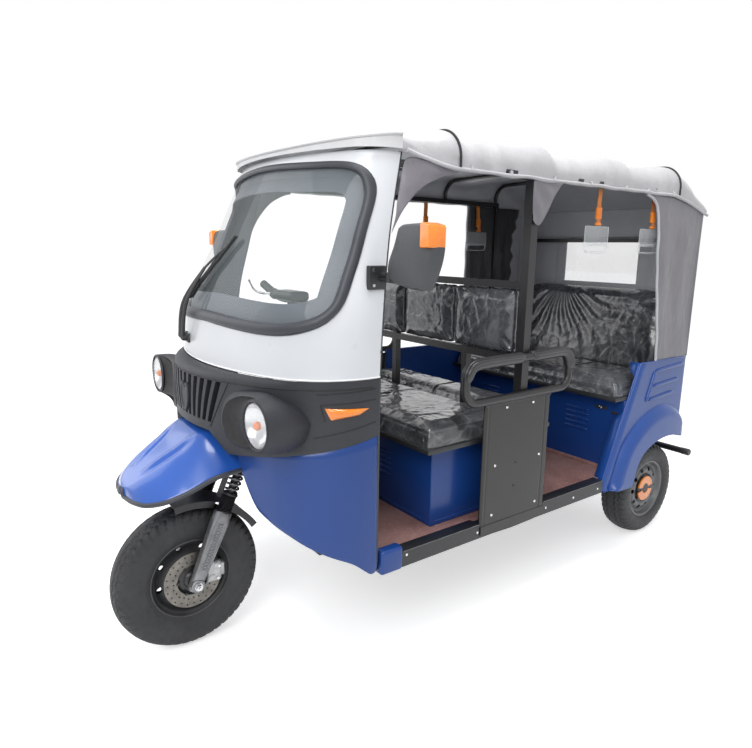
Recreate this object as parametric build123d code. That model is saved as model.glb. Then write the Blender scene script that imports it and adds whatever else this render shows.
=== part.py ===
"""Passenger auto rickshaw, millimetres.

The vehicle faces -Y, +X is its left side, +Z is up and the ground is z = 0.
Stations along Y are measured from the front axle while the pieces are made;
each finished piece is then moved so that the origin lies under the middle of
the overall length.
"""
import math
import os

from build123d import *

# ---- wheels and wheelbase ----
wheelbase = 2400.0
front_tyre_r = 284.0
front_tyre_w = 125.0
rear_tyre_r = 254.0
rear_tyre_w = 142.0
rear_track = 909.0
rim_seat_r = 152.0
bead_share = 0.8          # bead width as a share of the tyre width
tyre_gap = 0.3            # seat clearance between a rim and its tyre
running_gap = 0.3         # radial clearance of turning shafts
tail_overhang = 280.0     # rear axle to the back of the bumper

# ---- cab body ----
body_half = 589.0         # half of the body width
wall = 18.0               # cab wall thickness
skirt_top = 444.0         # floor level, top of the sills
sill_h = 59.0
sill_w = 40.0
sill_front = 500.0
sill_back = wheelbase - 550.0
foot_len = 100.0          # corner box at the front of each sill
foot_proud = 8.0
seam_z = 1110.0           # seam between front band and upper shell
screen_z = 1270.0         # section level at the foot of the windscreen
screen_mid_z = 1560.0
shell_top_z = 1850.0
band_proud = 66.0         # how far the front band stands ahead of the seam
seat_gap = 0.3            # clearance of pieces that seat on curved faces
lamp_x = 485.0
lamp_z = 985.0
lamp_r = 75.0
lamp_front = 78.0         # station of the rim of a lamp's pod
pod_wall = 8.0

# plan sections of the front shell:
# level z, half width, side station, nose station, corner radius, rear edge station
shell_sections = [
    (seam_z, body_half, 450.0, 96.0, 300.0, 482.0),
    (screen_z, body_half, 455.0, 115.0, 290.0, 488.0),
    (screen_mid_z, body_half - 37.0, 530.0, 250.0, 220.0, 536.0),
    (shell_top_z, body_half - 74.0, 605.0, 385.0, 150.0, 610.0),
]

# windscreen opening, side view (station, z); the front end runs past the nose
screen_outline = [
    (225.0, 1258.0), (270.0, 1275.0), (306.0, 1300.0), (371.0, 1380.0), (435.0, 1531.0), (480.0, 1640.0),
    (508.0, 1720.0), (506.0, 1756.0), (489.0, 1788.0), (455.0, 1812.0), (390.0, 1825.0),
]
screen_low_z = 1258.0
screen_high_z = 1829.0
gasket_w = 34.0
gasket_proud = 7.0
glass_t = 6.0

# lower edge of the front shell, side view (station, z), from the sill forwards
skirt_line = [(600.0, 372.0), (470.0, 385.0), (432.0, 425.0), (384.0, 464.0),
              (251.0, 534.0), (168.0, 606.0), (60.0, 690.0)]
# edge of the front opening, (x, z) up the left side
arch_line = [(338.0, 0.0), (338.0, 636.0), (304.0, 681.0), (269.0, 744.0), (245.0, 807.0), (240.0, 901.0)]
band_low_z = 811.0        # band's lower plane: height at station 0
band_slope = 0.21         # and its rise per mm of station

# ---- steering ----
rake = 24.0               # degrees from vertical
axis_offset = 40.0        # steering axis behind the fork legs
leg_x = 100.0
slider_r = 24.0
upper_leg_r = 15.0
spring_r = 27.0
slider_len = 290.0        # up from the axle
spring_len = 205.0
lower_yoke_s = 500.0      # distances up the leg from the axle
yoke_t = 26.0
head_len = 130.0
head_r = 26.0
stem_r = 14.0
bar_s = 1135.0            # handlebar height up the steering axis
bar_r = 11.0
bar_half = 345.0
bar_flat = 150.0          # half of the straight middle of the bar
bar_sweep = 26.0
bar_rise = 66.0
grip_r = 16.0
grip_len = 120.0
disc_r = 110.0
disc_x = 62.0
disc_t = 5.0
front_hub_half = 48.0
front_axle_r = 9.0

# ---- chassis ----
rail_x = 250.0
rail_w = 40.0
rail_h = 60.0
deck_t = 12.0
mat_t = 4.0
rail_front = 440.0
rail_back = wheelbase + 240.0
axle_r = 30.0
stub_r = 16.0

# ---- seats and boxes ----
box_front = 823.0
box_back = 1400.0
box_half = body_half - 103.0
box_top = 773.0
box_wall = 10.0
cushion_h = 102.0
cushion_half = body_half - 44.0
pillar_y = 1220.0
pillar_w = 40.0
panel_front = 1000.0
panel_back = 1400.0
panel_top = 940.0
panel_t = 16.0
armrest_r = 16.0
armrest_bend = 58.0
rest_low_z = 1100.0
rest_high_z = 1400.0
rest_tube = 30.0
rear_box_front = wheelbase - 400.0
rear_box_top = 820.0
rear_cushion_h = 100.0

# ---- rear body ----
quarter_top = 1000.0
quarter_foot = 382.0
# front edge of the quarter panel (station, z)
quarter_lean = ((wheelbase - 300.0, quarter_top), (wheelbase - 550.0, quarter_foot))
tail_y = wheelbase + 148.0
tail_t = 15.0
plate_pitch = 145.0       # number plate holes
plate_hole_r = 3.5
plate_z = 640.0
arch_r = 335.0            # wheel opening
flare_r = 510.0           # where the mudguard leaves the side panel
flare_out = 40.0
flare_t = 12.0
bumper_z = 437.0
bumper_r = 17.5
bumper_half = body_half + 11.0

# ---- roof ----
roof_rail_z = 1800.0
roof_rail = 25.0
canopy_t = 5.0
canopy_half = body_half + 5.0
hoop_r = 10.0
hoop_room = 0.6           # room between a hoop and the cloth
canopy_lip = 16.0         # the cover stands this far ahead of the shell
# arched sections of the roof cover: station, half width, side level z, crown level z, corner radius, has a hoop
canopy_front_half = shell_sections[-1][1] + canopy_lip
canopy_sections = [
    (340.0, canopy_front_half, shell_top_z + 9, shell_top_z + 22, 12.0, False),
    (610.0, canopy_front_half, shell_top_z + 12, shell_top_z + 68, 48.0, False),
    (800.0, canopy_half, 1840.0, 1945.0, 100.0, True),
    (840.0, canopy_half, 1822.0, 1928.0, 90.0, False),
    (1290.0, canopy_half, 1838.0, 1947.0, 104.0, True),
    (1330.0, canopy_half, 1820.0, 1918.0, 84.0, False),
    (wheelbase - 580.0, canopy_half, 1838.0, 1945.0, 102.0, True),
    (wheelbase - 540.0, canopy_half, 1826.0, 1922.0, 84.0, False),
    (wheelbase - 150.0, canopy_half, 1844.0, 1949.0, 98.0, True),
    (wheelbase + 150.0, canopy_half, 1742.0, 1772.0, 26.0, False),
]
canopy_skirt_z = 1798.0

overall_length = front_tyre_r + wheelbase + tail_overhang
front_axle_y = front_tyre_r - overall_length / 2

far_back = rail_back + 400.0   # past the tail, for cutting solids

pieces = {}


def keep(name, shape):
    """Store a finished piece under its node name."""
    pieces[name] = shape


def block(x0, x1, y0, y1, z0, z1):
    """Box between two corners."""
    return Pos((x0 + x1) / 2, (y0 + y1) / 2, (z0 + z1) / 2) * Box(x1 - x0, y1 - y0, z1 - z0)


def pair(shape):
    """A solid and its mirror image across the centre plane, in one compound."""
    return Compound(children=[shape, mirror(shape, Plane.YZ)])


def rod(start, end, radius):
    """Round bar between two points."""
    a, b = Vector(*start), Vector(*end)
    plane = Plane(origin=a, z_dir=(b - a).normalized())
    return extrude(plane * Circle(radius), (b - a).length)


def tube_path(points, radius, bend):
    """Round bar along straight runs joined by tangent arcs."""
    path = FilletPolyline(*points, radius=bend)
    start = Plane(origin=path @ 0, z_dir=path % 0)
    return sweep(start * Circle(radius), path=path)


def side_prism(points, x0, x1):
    """Side view outline (station, z) extruded across the vehicle."""
    outline = Plane.YZ * Polygon(*points, align=None)
    return Pos(x0, 0, 0) * extrude(outline, x1 - x0, dir=(1, 0, 0))


def bow(half, side, nose, radius, tail, inset=0.0):
    """Outline of straight sides closed by two corner arcs and one nose arc, in 2-D (u, v).

    The sides run from v = tail to v = side, and the nose arc crosses u = 0 at v = nose.
    """
    sign = 1 if nose < side else -1
    u_mid, reach = half - radius, abs(side - nose)
    big = (u_mid ** 2 + reach ** 2 - radius ** 2) / (2 * (reach - radius))
    centre_v = nose + sign * big
    span = math.hypot(u_mid, side - centre_v)
    dir_u, dir_v = u_mid / span, (side - centre_v) / span
    w, r, b = half - inset, radius - inset, big - inset
    join = (b * dir_u, centre_v + b * dir_v)
    bend = math.atan2(join[1] - side, join[0] - u_mid) / 2
    mid = (u_mid + r * math.cos(bend), side + r * math.sin(bend))
    top = (0.0, nose + sign * inset)
    right = [Line((w, tail), (w, side)), ThreePointArc((w, side), mid, join)]
    nose_arc = ThreePointArc(join, top, (-join[0], join[1]))
    left = [ThreePointArc((-join[0], join[1]), (-mid[0], mid[1]), (-w, side)),
            Line((-w, side), (-w, tail)), Line((-w, tail), (w, tail))]
    return make_face([*right, nose_arc, *left])


def plan_section(row, inset=0.0, past=0.0, grow=0.0):
    """One plan section of the front shell as a face at its level."""
    level, half, side, nose, radius, tail = row
    face = bow(half + grow, side, nose - grow, radius + grow, tail + past, inset)
    return Pos(0, 0, level) * face


def shell_solid(inset=0.0, past=0.0, grow=0.0):
    """Upper front shell as a solid over its section levels."""
    return loft([plan_section(row, inset, past, grow) for row in shell_sections], ruled=True)


def skin_station(x, z):
    """Station of the upper shell's outer face at a place on its nose arc."""
    for near, far_row in zip(shell_sections[:-1], shell_sections[1:]):
        if near[0] <= z <= far_row[0]:
            t = (z - near[0]) / (far_row[0] - near[0])
            half, side, nose, radius = (a + (b - a) * t for a, b in zip(near[1:5], far_row[1:5]))
            u_mid, reach = half - radius, side - nose
            big = (u_mid ** 2 + reach ** 2 - radius ** 2) / (2 * (reach - radius))
            return nose + big - math.sqrt(big ** 2 - x ** 2)
    return shell_sections[0][3]


def shell_row(z):
    """Interpolated plan section of the upper shell at a height."""
    for near, far_row in zip(shell_sections[:-1], shell_sections[1:]):
        if z <= far_row[0]:
            t = (z - near[0]) / (far_row[0] - near[0])
            return tuple(a + (b - a) * t for a, b in zip(near, far_row))
    return shell_sections[-1]


def band_edge(station):
    """Height of the band's lower plane at a station."""
    return band_low_z + band_slope * station


def make_front_shell():
    far = 1200.0
    base = shell_sections[0]
    low = (340.0, *base[1:])
    tall = seam_z - low[0]
    prism = extrude(plan_section(low), tall) - extrude(plan_section(low, wall, far), tall)
    under = side_prism([(-far, 0), (far, 0), *skirt_line, (-far, 690)], -far, far)
    above = side_prism([(-far, band_edge(-far)), (far, band_edge(far)), (far, far * 2), (-far, far * 2)],
                       -far, far)
    right_line = [(-x, z) for x, z in reversed(arch_line)]
    arch = Plane.XZ * Polygon(*arch_line, *right_line, align=None)
    arch = Pos(0, 330, 0) * extrude(arch, 700, dir=(0, -1, 0))
    keep("front_shell_lower", prism - under - above - arch)

    band_row = (low[0], *base[1:3], base[3] - band_proud, *base[4:])
    lip_t = 16.0
    ring = extrude(plan_section(band_row), tall) - extrude(plan_section(band_row, wall, far), tall)
    lip = Pos(0, 0, seam_z - lip_t - low[0]) * (extrude(plan_section(band_row), lip_t)
                                               - extrude(plan_section(low, wall, far), lip_t))
    below = side_prism([(-far, 0), (far, 0), (far, band_edge(far)), (-far, band_edge(-far))], -far, far)
    band = ring - below + lip
    chin = Plane.XZ * Polygon((-250, 0), (250, 0), (250, 830), (165, 895), (-165, 895), (-250, 830),
                              align=None)
    band -= Pos(0, 150, 0) * extrude(chin, 300, dir=(0, -1, 0))
    slot_w, slot_pitch, slot_count = 20.0, 40.0, 11
    for i in range(slot_count):
        x = (i - (slot_count - 1) / 2) * slot_pitch
        foot = 915.0 if abs(x) < 150 else 925.0
        band -= block(x - slot_w / 2, x + slot_w / 2, -100, 75, foot, seam_z - 28)
    pod = rod((lamp_x, lamp_front, lamp_z), (lamp_x, lamp_front + 200, lamp_z), lamp_r + pod_wall)
    band += pair(pod - extrude(plan_section(band_row, wall / 2, far), tall))
    band -= pair(rod((lamp_x, -100, lamp_z), (lamp_x, far, lamp_z), lamp_r + seat_gap))
    keep("headlamps", pair(rod((lamp_x, lamp_front + 4, lamp_z), (lamp_x, lamp_front + 110, lamp_z), lamp_r)))
    keep("front_band", band)

    outer = extrude(plan_section(band_row, -14.0), tall)
    inner = extrude(plan_section(band_row, -seat_gap, far), tall)
    signal_ring = outer - inner
    keep("turn_signals", pair(signal_ring & block(0, far, 300, 432, 985, 1028)))

    skin = shell_solid() - shell_solid(wall, far)
    ahead = -200.0
    opening = [(ahead, screen_low_z), *screen_outline, (ahead, screen_high_z)]
    keep("front_shell_upper", skin - side_prism(opening, -far, far))

    centre = (270.0, 1545.0)
    inner_line = []
    for y, z in screen_outline:
        away = math.hypot(centre[0] - y, centre[1] - z)
        step = gasket_w / away
        inner_line.append((y + (centre[0] - y) * step, z + (centre[1] - z) * step))
    hole = [(ahead, screen_low_z + gasket_w), *inner_line, (ahead, screen_high_z - gasket_w)]
    fat = shell_solid(0, 0, gasket_proud) - shell_solid(wall, far)
    keep("screen_gasket", (fat & side_prism(opening, -far, far)) - side_prism(hole, -far, far))
    thin = shell_solid(4.0, 0) - shell_solid(4.0 + glass_t, far)
    keep("windscreen", thin & side_prism(hole, -far, far))


def make_beak():
    """Pointed mudguard over the front wheel, fixed under the front band."""
    thick = 5.0
    # half width, station, height at the centre, drop at the edge
    rows = [(258.5, 145.0, 894.0, 124.0), (254.0, 40.0, 880.0, 126.0), (244.0, -50.0, 815.0, 92.0),
            (222.0, -120.0, 770.0, 78.0), (180.0, -172.0, 733.0, 62.0), (112.0, -204.0, 706.0, 46.0),
            (50.0, -214.0, 694.0, 36.0)]
    solids = []
    for near, far_row in zip(rows[:-1], rows[1:]):
        faces = []
        for half, y, top, drop in (near, far_row):
            pts = [(-half, top - drop), (-half * 0.45, top - drop * 0.15), (half * 0.45, top - drop * 0.15),
                   (half, top - drop), (half, top - drop - thick), (half * 0.45, top - drop * 0.15 - thick),
                   (-half * 0.45, top - drop * 0.15 - thick), (-half, top - drop - thick)]
            faces.append(Pos(0, y, 0) * (Plane.XZ * Polygon(*pts, align=None)))
        solids.append(loft(faces, ruled=True))
    beak = solids[0]
    for solid in solids[1:]:
        beak = beak + solid
    keep("beak_mudguard", beak)


def leg_point(s, x=0.0, back=0.0):
    """Point at distance s up the fork from the front axle, moved back from the leg line."""
    lean = math.radians(rake)
    return (x, s * math.sin(lean) + back * math.cos(lean),
            front_tyre_r + s * math.cos(lean) - back * math.sin(lean))


def fork_plane(s, back=0.0):
    """Plane square to the fork at height s, its local y pointing back."""
    lean = math.radians(rake)
    return Plane(origin=leg_point(s, 0, back), x_dir=(1, 0, 0),
                 z_dir=(0, math.sin(lean), math.cos(lean)))


def bar_points():
    """Handlebar route from its right end to its left end."""
    centre = leg_point(bar_s, 0, axis_offset)
    flat = (centre[1] + 2, centre[2] + bar_r + 3)
    end = (centre[1] + bar_sweep, centre[2] + bar_rise)
    return [(-bar_half, *end), (-bar_flat, *flat), (bar_flat, *flat), (bar_half, *end)]


def make_fork():
    legs = rod((-leg_x, 0, front_tyre_r), (leg_x, 0, front_tyre_r), front_axle_r)
    for x in (-leg_x, leg_x):
        legs += rod(leg_point(-28, x), leg_point(slider_len, x), slider_r)
        legs += rod(leg_point(slider_len, x), leg_point(lower_yoke_s - seat_gap, x), upper_leg_r)
    keep("fork_legs", legs)
    springs = []
    for x in (-leg_x, leg_x):
        coil = None
        turns = 9
        for i in range(turns):
            base = slider_len + seat_gap + spring_len * i / turns
            ring = (fork_plane(base) * Pos(x, 0, 0)
                    * (Pos(0, 0, spring_len / turns / 2)
                       * Cylinder(spring_r if i % 2 == 0 else spring_r - 7, spring_len / turns)))
            coil = ring if coil is None else coil + ring
        springs.append(coil - rod(leg_point(slider_len, x), leg_point(lower_yoke_s, x), upper_leg_r + seat_gap))
    keep("fork_springs", Compound(children=springs))

    stem_foot = lower_yoke_s
    head_foot = stem_foot + yoke_t + 1.0
    yokes = None
    for s in (stem_foot, head_foot + head_len + 1.0):
        plate = fork_plane(s) * Pos(0, axis_offset / 2, yoke_t / 2) * Box(2 * leg_x + 66, axis_offset + 66, yoke_t)
        yokes = plate if yokes is None else yokes + plate
    yokes += rod(leg_point(stem_foot, 0, axis_offset), leg_point(bar_s, 0, axis_offset), stem_r)
    for x in (-leg_x, leg_x):
        yokes += rod(leg_point(stem_foot + yoke_t, x), leg_point(head_foot + head_len + 1.0, x), upper_leg_r)
    keep("fork_yokes", yokes)
    head = rod(leg_point(head_foot, 0, axis_offset), leg_point(head_foot + head_len, 0, axis_offset), head_r)
    head -= rod(leg_point(head_foot - 1, 0, axis_offset), leg_point(head_foot + head_len + 1, 0, axis_offset),
                stem_r + running_gap)
    bore = rod(leg_point(head_foot - 60, 0, axis_offset), leg_point(head_foot + head_len + 60, 0, axis_offset),
               stem_r + running_gap)
    centre = leg_point(bar_s, 0, axis_offset)
    route = bar_points()
    bar = tube_path(route, bar_r, 60)
    for inner_point, outer_point in ((route[1], route[0]), (route[2], route[3])):
        end = Vector(*outer_point)
        along = (end - Vector(*inner_point)).normalized()
        bar += rod(tuple(end - along * grip_len), tuple(end), grip_r)
    bar += block(-55, 55, centre[1] - 30, centre[1] + 26, centre[2] + 6, centre[2] + 62)
    bar += Pos(0, centre[1] - 32, centre[2] + 66) * Rot(-40, 0, 0) * Box(150, 34, 84)
    keep("handlebar", bar)

    guard_r, guard_t, guard_end_z = front_tyre_r + 26.0, 4.0, 850.0
    ring = revolve_ring(guard_r, guard_r + guard_t, -70, 70, (0, front_tyre_r))
    ring += revolve_ring(guard_r - 22, guard_r + guard_t, -74, -70, (0, front_tyre_r))
    ring += revolve_ring(guard_r - 22, guard_r + guard_t, 70, 74, (0, front_tyre_r))
    sector = side_prism([(0, front_tyre_r), (-120, 900), (900, 900), (900, guard_end_z)], -200, 200)
    guard = ring & sector
    guard -= fork_plane(0) * Pos(leg_x, 0, 300) * Box(60, 60, 600)
    guard -= fork_plane(0) * Pos(-leg_x, 0, 300) * Box(60, 60, 600)
    stay = fork_plane(lower_yoke_s - 10) * Pos(0, axis_offset / 2, 0) * Box(60, 50, 19.4)
    drop = fork_plane(guard_r + 2) * Pos(0, 12, (lower_yoke_s - guard_r - 12) / 2) * Box(
        40, 4, lower_yoke_s - guard_r - 8)
    keep("inner_mudguard", guard + stay + drop)
    cal = fork_plane(60) * Pos(disc_x + disc_t / 2, slider_r + 40, 0) * Box(38, 70, 84)
    cal += fork_plane(60) * Pos(leg_x - 8, slider_r + 22, 0) * Box(34, 50, 60)
    cal -= revolve_ring(0.1, disc_r + 5, disc_x - 3, disc_x + disc_t + 3, (0, front_tyre_r))
    cal -= rod(leg_point(-60, leg_x), leg_point(300, leg_x), slider_r + seat_gap)
    keep("brake_caliper", cal)
    return head, bore


def revolve_ring(inner, outer, x0, x1, centre):
    """Ring about an axle parallel to X at (station, z)."""
    ring = extrude(Plane.YZ * (Circle(outer) - Circle(inner)), x1 - x0)
    return Pos(x0, centre[0], centre[1]) * ring


def make_tyre(radius, width, seat, x_mid, station):
    """Tyre as a turned section with rounded shoulders."""
    half = width / 2
    shoulder = width * 0.24
    tread_half = half - shoulder * 0.55
    bulge = (radius + seat) / 2
    lower = half * bead_share
    bead_h = 12.0
    section = make_face(Polyline((-lower, seat), (-lower, seat + bead_h), (-half, bulge), (-half * 0.98, radius - shoulder),
                                 (-tread_half, radius - 4), (0, radius), (tread_half, radius - 4),
                                 (half * 0.98, radius - shoulder), (half, bulge), (lower, seat + bead_h),
                                 (lower, seat), close=True))
    tyre = revolve(section, Axis.X)
    return Pos(x_mid, station, radius) * tyre


def make_rim(seat, half, hub_r, hub_half, bore_r, web_x, web_t, slots):
    """Steel rim: barrel with flanges, dished web with slots, hub with a bore."""
    r = seat - tyre_gap
    profile = Polyline((-half, r + 9), (-half, r), (half, r), (half, r + 9), (half + 4, r + 9),
                       (half + 4, r - 6), (-half - 4, r - 6), (-half - 4, r + 9), close=True)
    rim = revolve(make_face(profile), Axis.X)
    web = Pos(web_x - web_t / 2, 0, 0) * extrude(Plane.YZ * Circle(r - 3), web_t)
    slot_r, slot_ring = 15.0, r * 0.66
    for i in range(slots):
        angle = 2 * math.pi * i / slots
        y, z = slot_ring * math.cos(angle), slot_ring * math.sin(angle)
        web -= rod((web_x - 30, y, z), (web_x + 30, y, z), slot_r)
    rim += web
    rim += Pos(-hub_half, 0, 0) * extrude(Plane.YZ * Circle(hub_r), 2 * hub_half)
    return rim - Pos(-200, 0, 0) * extrude(Plane.YZ * Circle(bore_r), 400)


def make_wheels():
    front_rim = make_rim(rim_seat_r, front_tyre_w / 2 * bead_share + tyre_gap, 30, front_hub_half, front_axle_r + running_gap,
                         -4, 6, 6)
    disc = Pos(disc_x, 0, 0) * extrude(Plane.YZ * (Circle(disc_r) - Circle(front_axle_r + running_gap)), disc_t)
    carrier = Pos(front_hub_half - 1, 0, 0) * extrude(
        Plane.YZ * (Circle(26) - Circle(front_axle_r + running_gap)), disc_x - front_hub_half + 2)
    front_rim += disc + carrier
    keep("front_rim", Pos(0, 0, front_tyre_r) * front_rim)
    keep("front_tyre", make_tyre(front_tyre_r, front_tyre_w, rim_seat_r, 0, 0))
    half_track = rear_track / 2
    for name, side in (("left", 1), ("right", -1)):
        rim = make_rim(rim_seat_r, rear_tyre_w / 2 * bead_share + tyre_gap, 44, 40, stub_r + running_gap, 22, 8, 8)
        cap = Pos(40, 0, 0) * extrude(Plane.YZ * Circle(58), 22)
        rim += cap
        rim = rim if side > 0 else mirror(rim, Plane.YZ)
        keep("rear_rim_" + name, Pos(side * half_track, wheelbase, rear_tyre_r) * rim)
        keep("rear_tyre_" + name, make_tyre(rear_tyre_r, rear_tyre_w, rim_seat_r, side * half_track, wheelbase))


def make_chassis(head, bore):
    rail_top = skirt_top - deck_t - mat_t - 28
    rail_low = rail_top - rail_h
    frame = None
    for x in (-rail_x, rail_x):
        rail = block(x - rail_w / 2, x + rail_w / 2, rail_front, rail_back, rail_low, rail_top)
        frame = rail if frame is None else frame + rail
    inner = rail_x - rail_w / 2
    for y in (rail_front, 900.0, 1340.0, 1990.0, rail_back - 40):
        frame += block(-inner, inner, y, y + 40, rail_low, rail_top)
    for y in (520.0, 1420.0, 1760.0):
        frame += block(-body_half + sill_w, body_half - sill_w, y, y + 40, rail_top, rail_top + 28)
    neck_foot = (0, rail_front + 20, rail_top - 26)
    frame += rod(neck_foot, leg_point(lower_yoke_s + yoke_t + 100, 0, axis_offset), 24)
    frame = frame + head
    frame -= bore
    frame -= fork_plane(lower_yoke_s - 20) * Pos(0, axis_offset / 2, 23.5) * Box(400, 140, 47)
    keep("ladder_frame", frame)
    deck_z = rail_top + 28
    deck = block(-body_half + sill_w, body_half - sill_w, sill_front, rear_box_front + wall, deck_z,
                 deck_z + deck_t)
    engine_half, engine_front, engine_back = inner - 60.0, 960.0, 1280.0
    deck -= block(-inner + 20, inner - 20, 940, 1300, deck_z - 5, deck_z + deck_t + 5)
    keep("floor_deck", deck)
    mat = block(-body_half + sill_w, body_half - sill_w, sill_front, rear_box_front, deck_z + deck_t,
                deck_z + deck_t + mat_t)
    mat -= block(-box_half, box_half, box_front, box_back, deck_z, deck_z + 40)
    keep("floor_mat", mat)
    engine = block(-engine_half, engine_half, engine_front, engine_back, rail_low + 10, 690)
    for y in (940.0, 1340.0):
        lo, hi = (y, engine_front) if y < engine_front else (engine_back, y)
        engine += block(-40, 40, lo, hi, rail_low + 10, rail_top)
    keep("engine_block", engine)
    for name, side in (("left", 1), ("right", -1)):
        x0, x1 = sorted((side * (body_half - sill_w), side * body_half))
        keep("sill_" + name, block(x0, x1, sill_front + foot_len, sill_back, skirt_top - sill_h, skirt_top))
    knee_y, top_y, liner_t = 405.0, 430.0, 10.0
    liner = side_prism([(sill_front - 12, rail_top), (knee_y, 620), (top_y, 930), (top_y + liner_t, 930),
                        (knee_y + liner_t, 621), (sill_front - 16, deck_z + deck_t),
                        (sill_front, deck_z + deck_t), (sill_front, rail_top)], -body_half, body_half)
    room = (300.0, *shell_sections[0][1:])
    keep("toe_board", liner & extrude(plan_section(room, wall + seat_gap, 300.0), 800))
    keep("sill_feet", pair(block(body_half - sill_w, body_half + foot_proud, sill_front,
                                 sill_front + foot_len, skirt_top - sill_h - 4, skirt_top + 30)))

    axle = rod((-365, wheelbase, rear_tyre_r), (365, wheelbase, rear_tyre_r), axle_r)
    axle += rod((-75, wheelbase, rear_tyre_r), (75, wheelbase, rear_tyre_r), 78)
    for side in (-1, 1):
        axle += rod((side * 365, wheelbase, rear_tyre_r), (side * (rear_track / 2 + 36), wheelbase, rear_tyre_r),
                    stub_r)
    keep("rear_axle", axle)
    leaf_t, leaf_half_len, leaf_w = 16.0, 235.0, 44.0
    seat_z = rear_tyre_r + axle_r + seat_gap
    eye_z = rail_low - seat_gap - leaf_t / 2
    bowed = [(-leaf_half_len, eye_z - leaf_t / 2), (-60, seat_z), (60, seat_z), (leaf_half_len, eye_z - leaf_t / 2),
             (leaf_half_len, eye_z + leaf_t / 2), (60, seat_z + leaf_t), (-60, seat_z + leaf_t),
             (-leaf_half_len, eye_z + leaf_t / 2)]
    bowed = [(wheelbase + y, z) for y, z in bowed]
    keep("leaf_springs", pair(side_prism(bowed, rail_x - leaf_w / 2, rail_x + leaf_w / 2)))
    bumper = rod((-bumper_half, wheelbase + tail_overhang - bumper_r, bumper_z),
                 (bumper_half, wheelbase + tail_overhang - bumper_r, bumper_z), bumper_r)
    for x in (-rail_x, rail_x):
        bumper += block(x - 15, x + 15, rail_back + seat_gap, wheelbase + tail_overhang - bumper_r,
                        rail_low + 10, bumper_z)
    keep("rear_bumper", bumper)


def make_seats():
    box = block(-box_half, box_half, box_front, box_back, skirt_top - mat_t, box_top)
    box -= block(-box_half + box_wall, box_half - box_wall, box_front + box_wall, box_back - box_wall,
                 skirt_top - mat_t - 1, box_top - box_wall)
    keep("middle_box", box)
    keep("driver_cushion", block(-cushion_half, cushion_half, 750, pillar_y - 17, box_top + seat_gap,
                                 box_top + cushion_h))
    keep("facing_cushion", block(-cushion_half, cushion_half, pillar_y + 21, 1460, box_top + seat_gap,
                                 box_top + cushion_h))
    half_t = rest_tube / 2
    reach = body_half - pillar_w - seat_gap
    frame = None
    for z in (rest_low_z, rest_high_z):
        rail = block(-reach, reach, pillar_y - half_t, pillar_y + half_t, z - half_t, z + half_t)
        frame = rail if frame is None else frame + rail
    post_x = 252.0
    for x in (-post_x, post_x):
        frame += block(x - half_t, x + half_t, pillar_y - half_t, pillar_y + half_t, box_top,
                       rest_high_z - half_t)
    keep("backrest_frame", frame)
    pad_t, low, high = 56.0, rest_low_z + half_t + seat_gap, rest_high_z - half_t - seat_gap
    spans = [(-post_x + half_t + seat_gap, post_x - half_t - seat_gap),
             (post_x + half_t + seat_gap, reach - 20), (-reach + 20, -post_x - half_t - seat_gap)]
    pads = [block(x0, x1, pillar_y - pad_t / 2, pillar_y + pad_t / 2, low, high) for x0, x1 in spans]
    keep("backrest_pads", Compound(children=pads))

    inside = body_half - wall - seat_gap
    wheel_wall = rear_track / 2 - rear_tyre_w / 2 - 32
    rear = block(-inside, inside, rear_box_front, rear_box_front + wall, skirt_top - mat_t, rear_box_top)
    rear += block(-inside, inside, rear_box_front, tail_y - tail_t, rear_box_top - wall, rear_box_top)
    for side in (-1, 1):
        x0, x1 = sorted((side * wheel_wall, side * (wheel_wall + 8)))
        rear += block(x0, x1, rear_box_front + wall, tail_y - tail_t, skirt_top - 20, rear_box_top)
    keep("rear_seat_box", rear)
    seat_front, seat_back = rear_box_front - 70, tail_y - 154
    keep("rear_cushion", block(-inside + 4, inside - 4, seat_front, seat_back, rear_box_top + seat_gap,
                               rear_box_top + rear_cushion_h))
    rest_low, rest_rise = rear_box_top + rear_cushion_h + 5, 405.0
    rest_front, rest_rear = seat_back + 1, seat_back + 81
    lean = side_prism([(rest_front, rest_low), (rest_rear, rest_low), (rest_rear + 37, rest_low + rest_rise),
                       (rest_front + 60, rest_low + rest_rise + 10)], -inside + 40, inside - 40)
    rest_foot = block(-inside + 60, inside - 60, rest_front + 30, rest_rear, rear_box_top + seat_gap, rest_low)
    keep("rear_backrest", lean + rest_foot)


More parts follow.
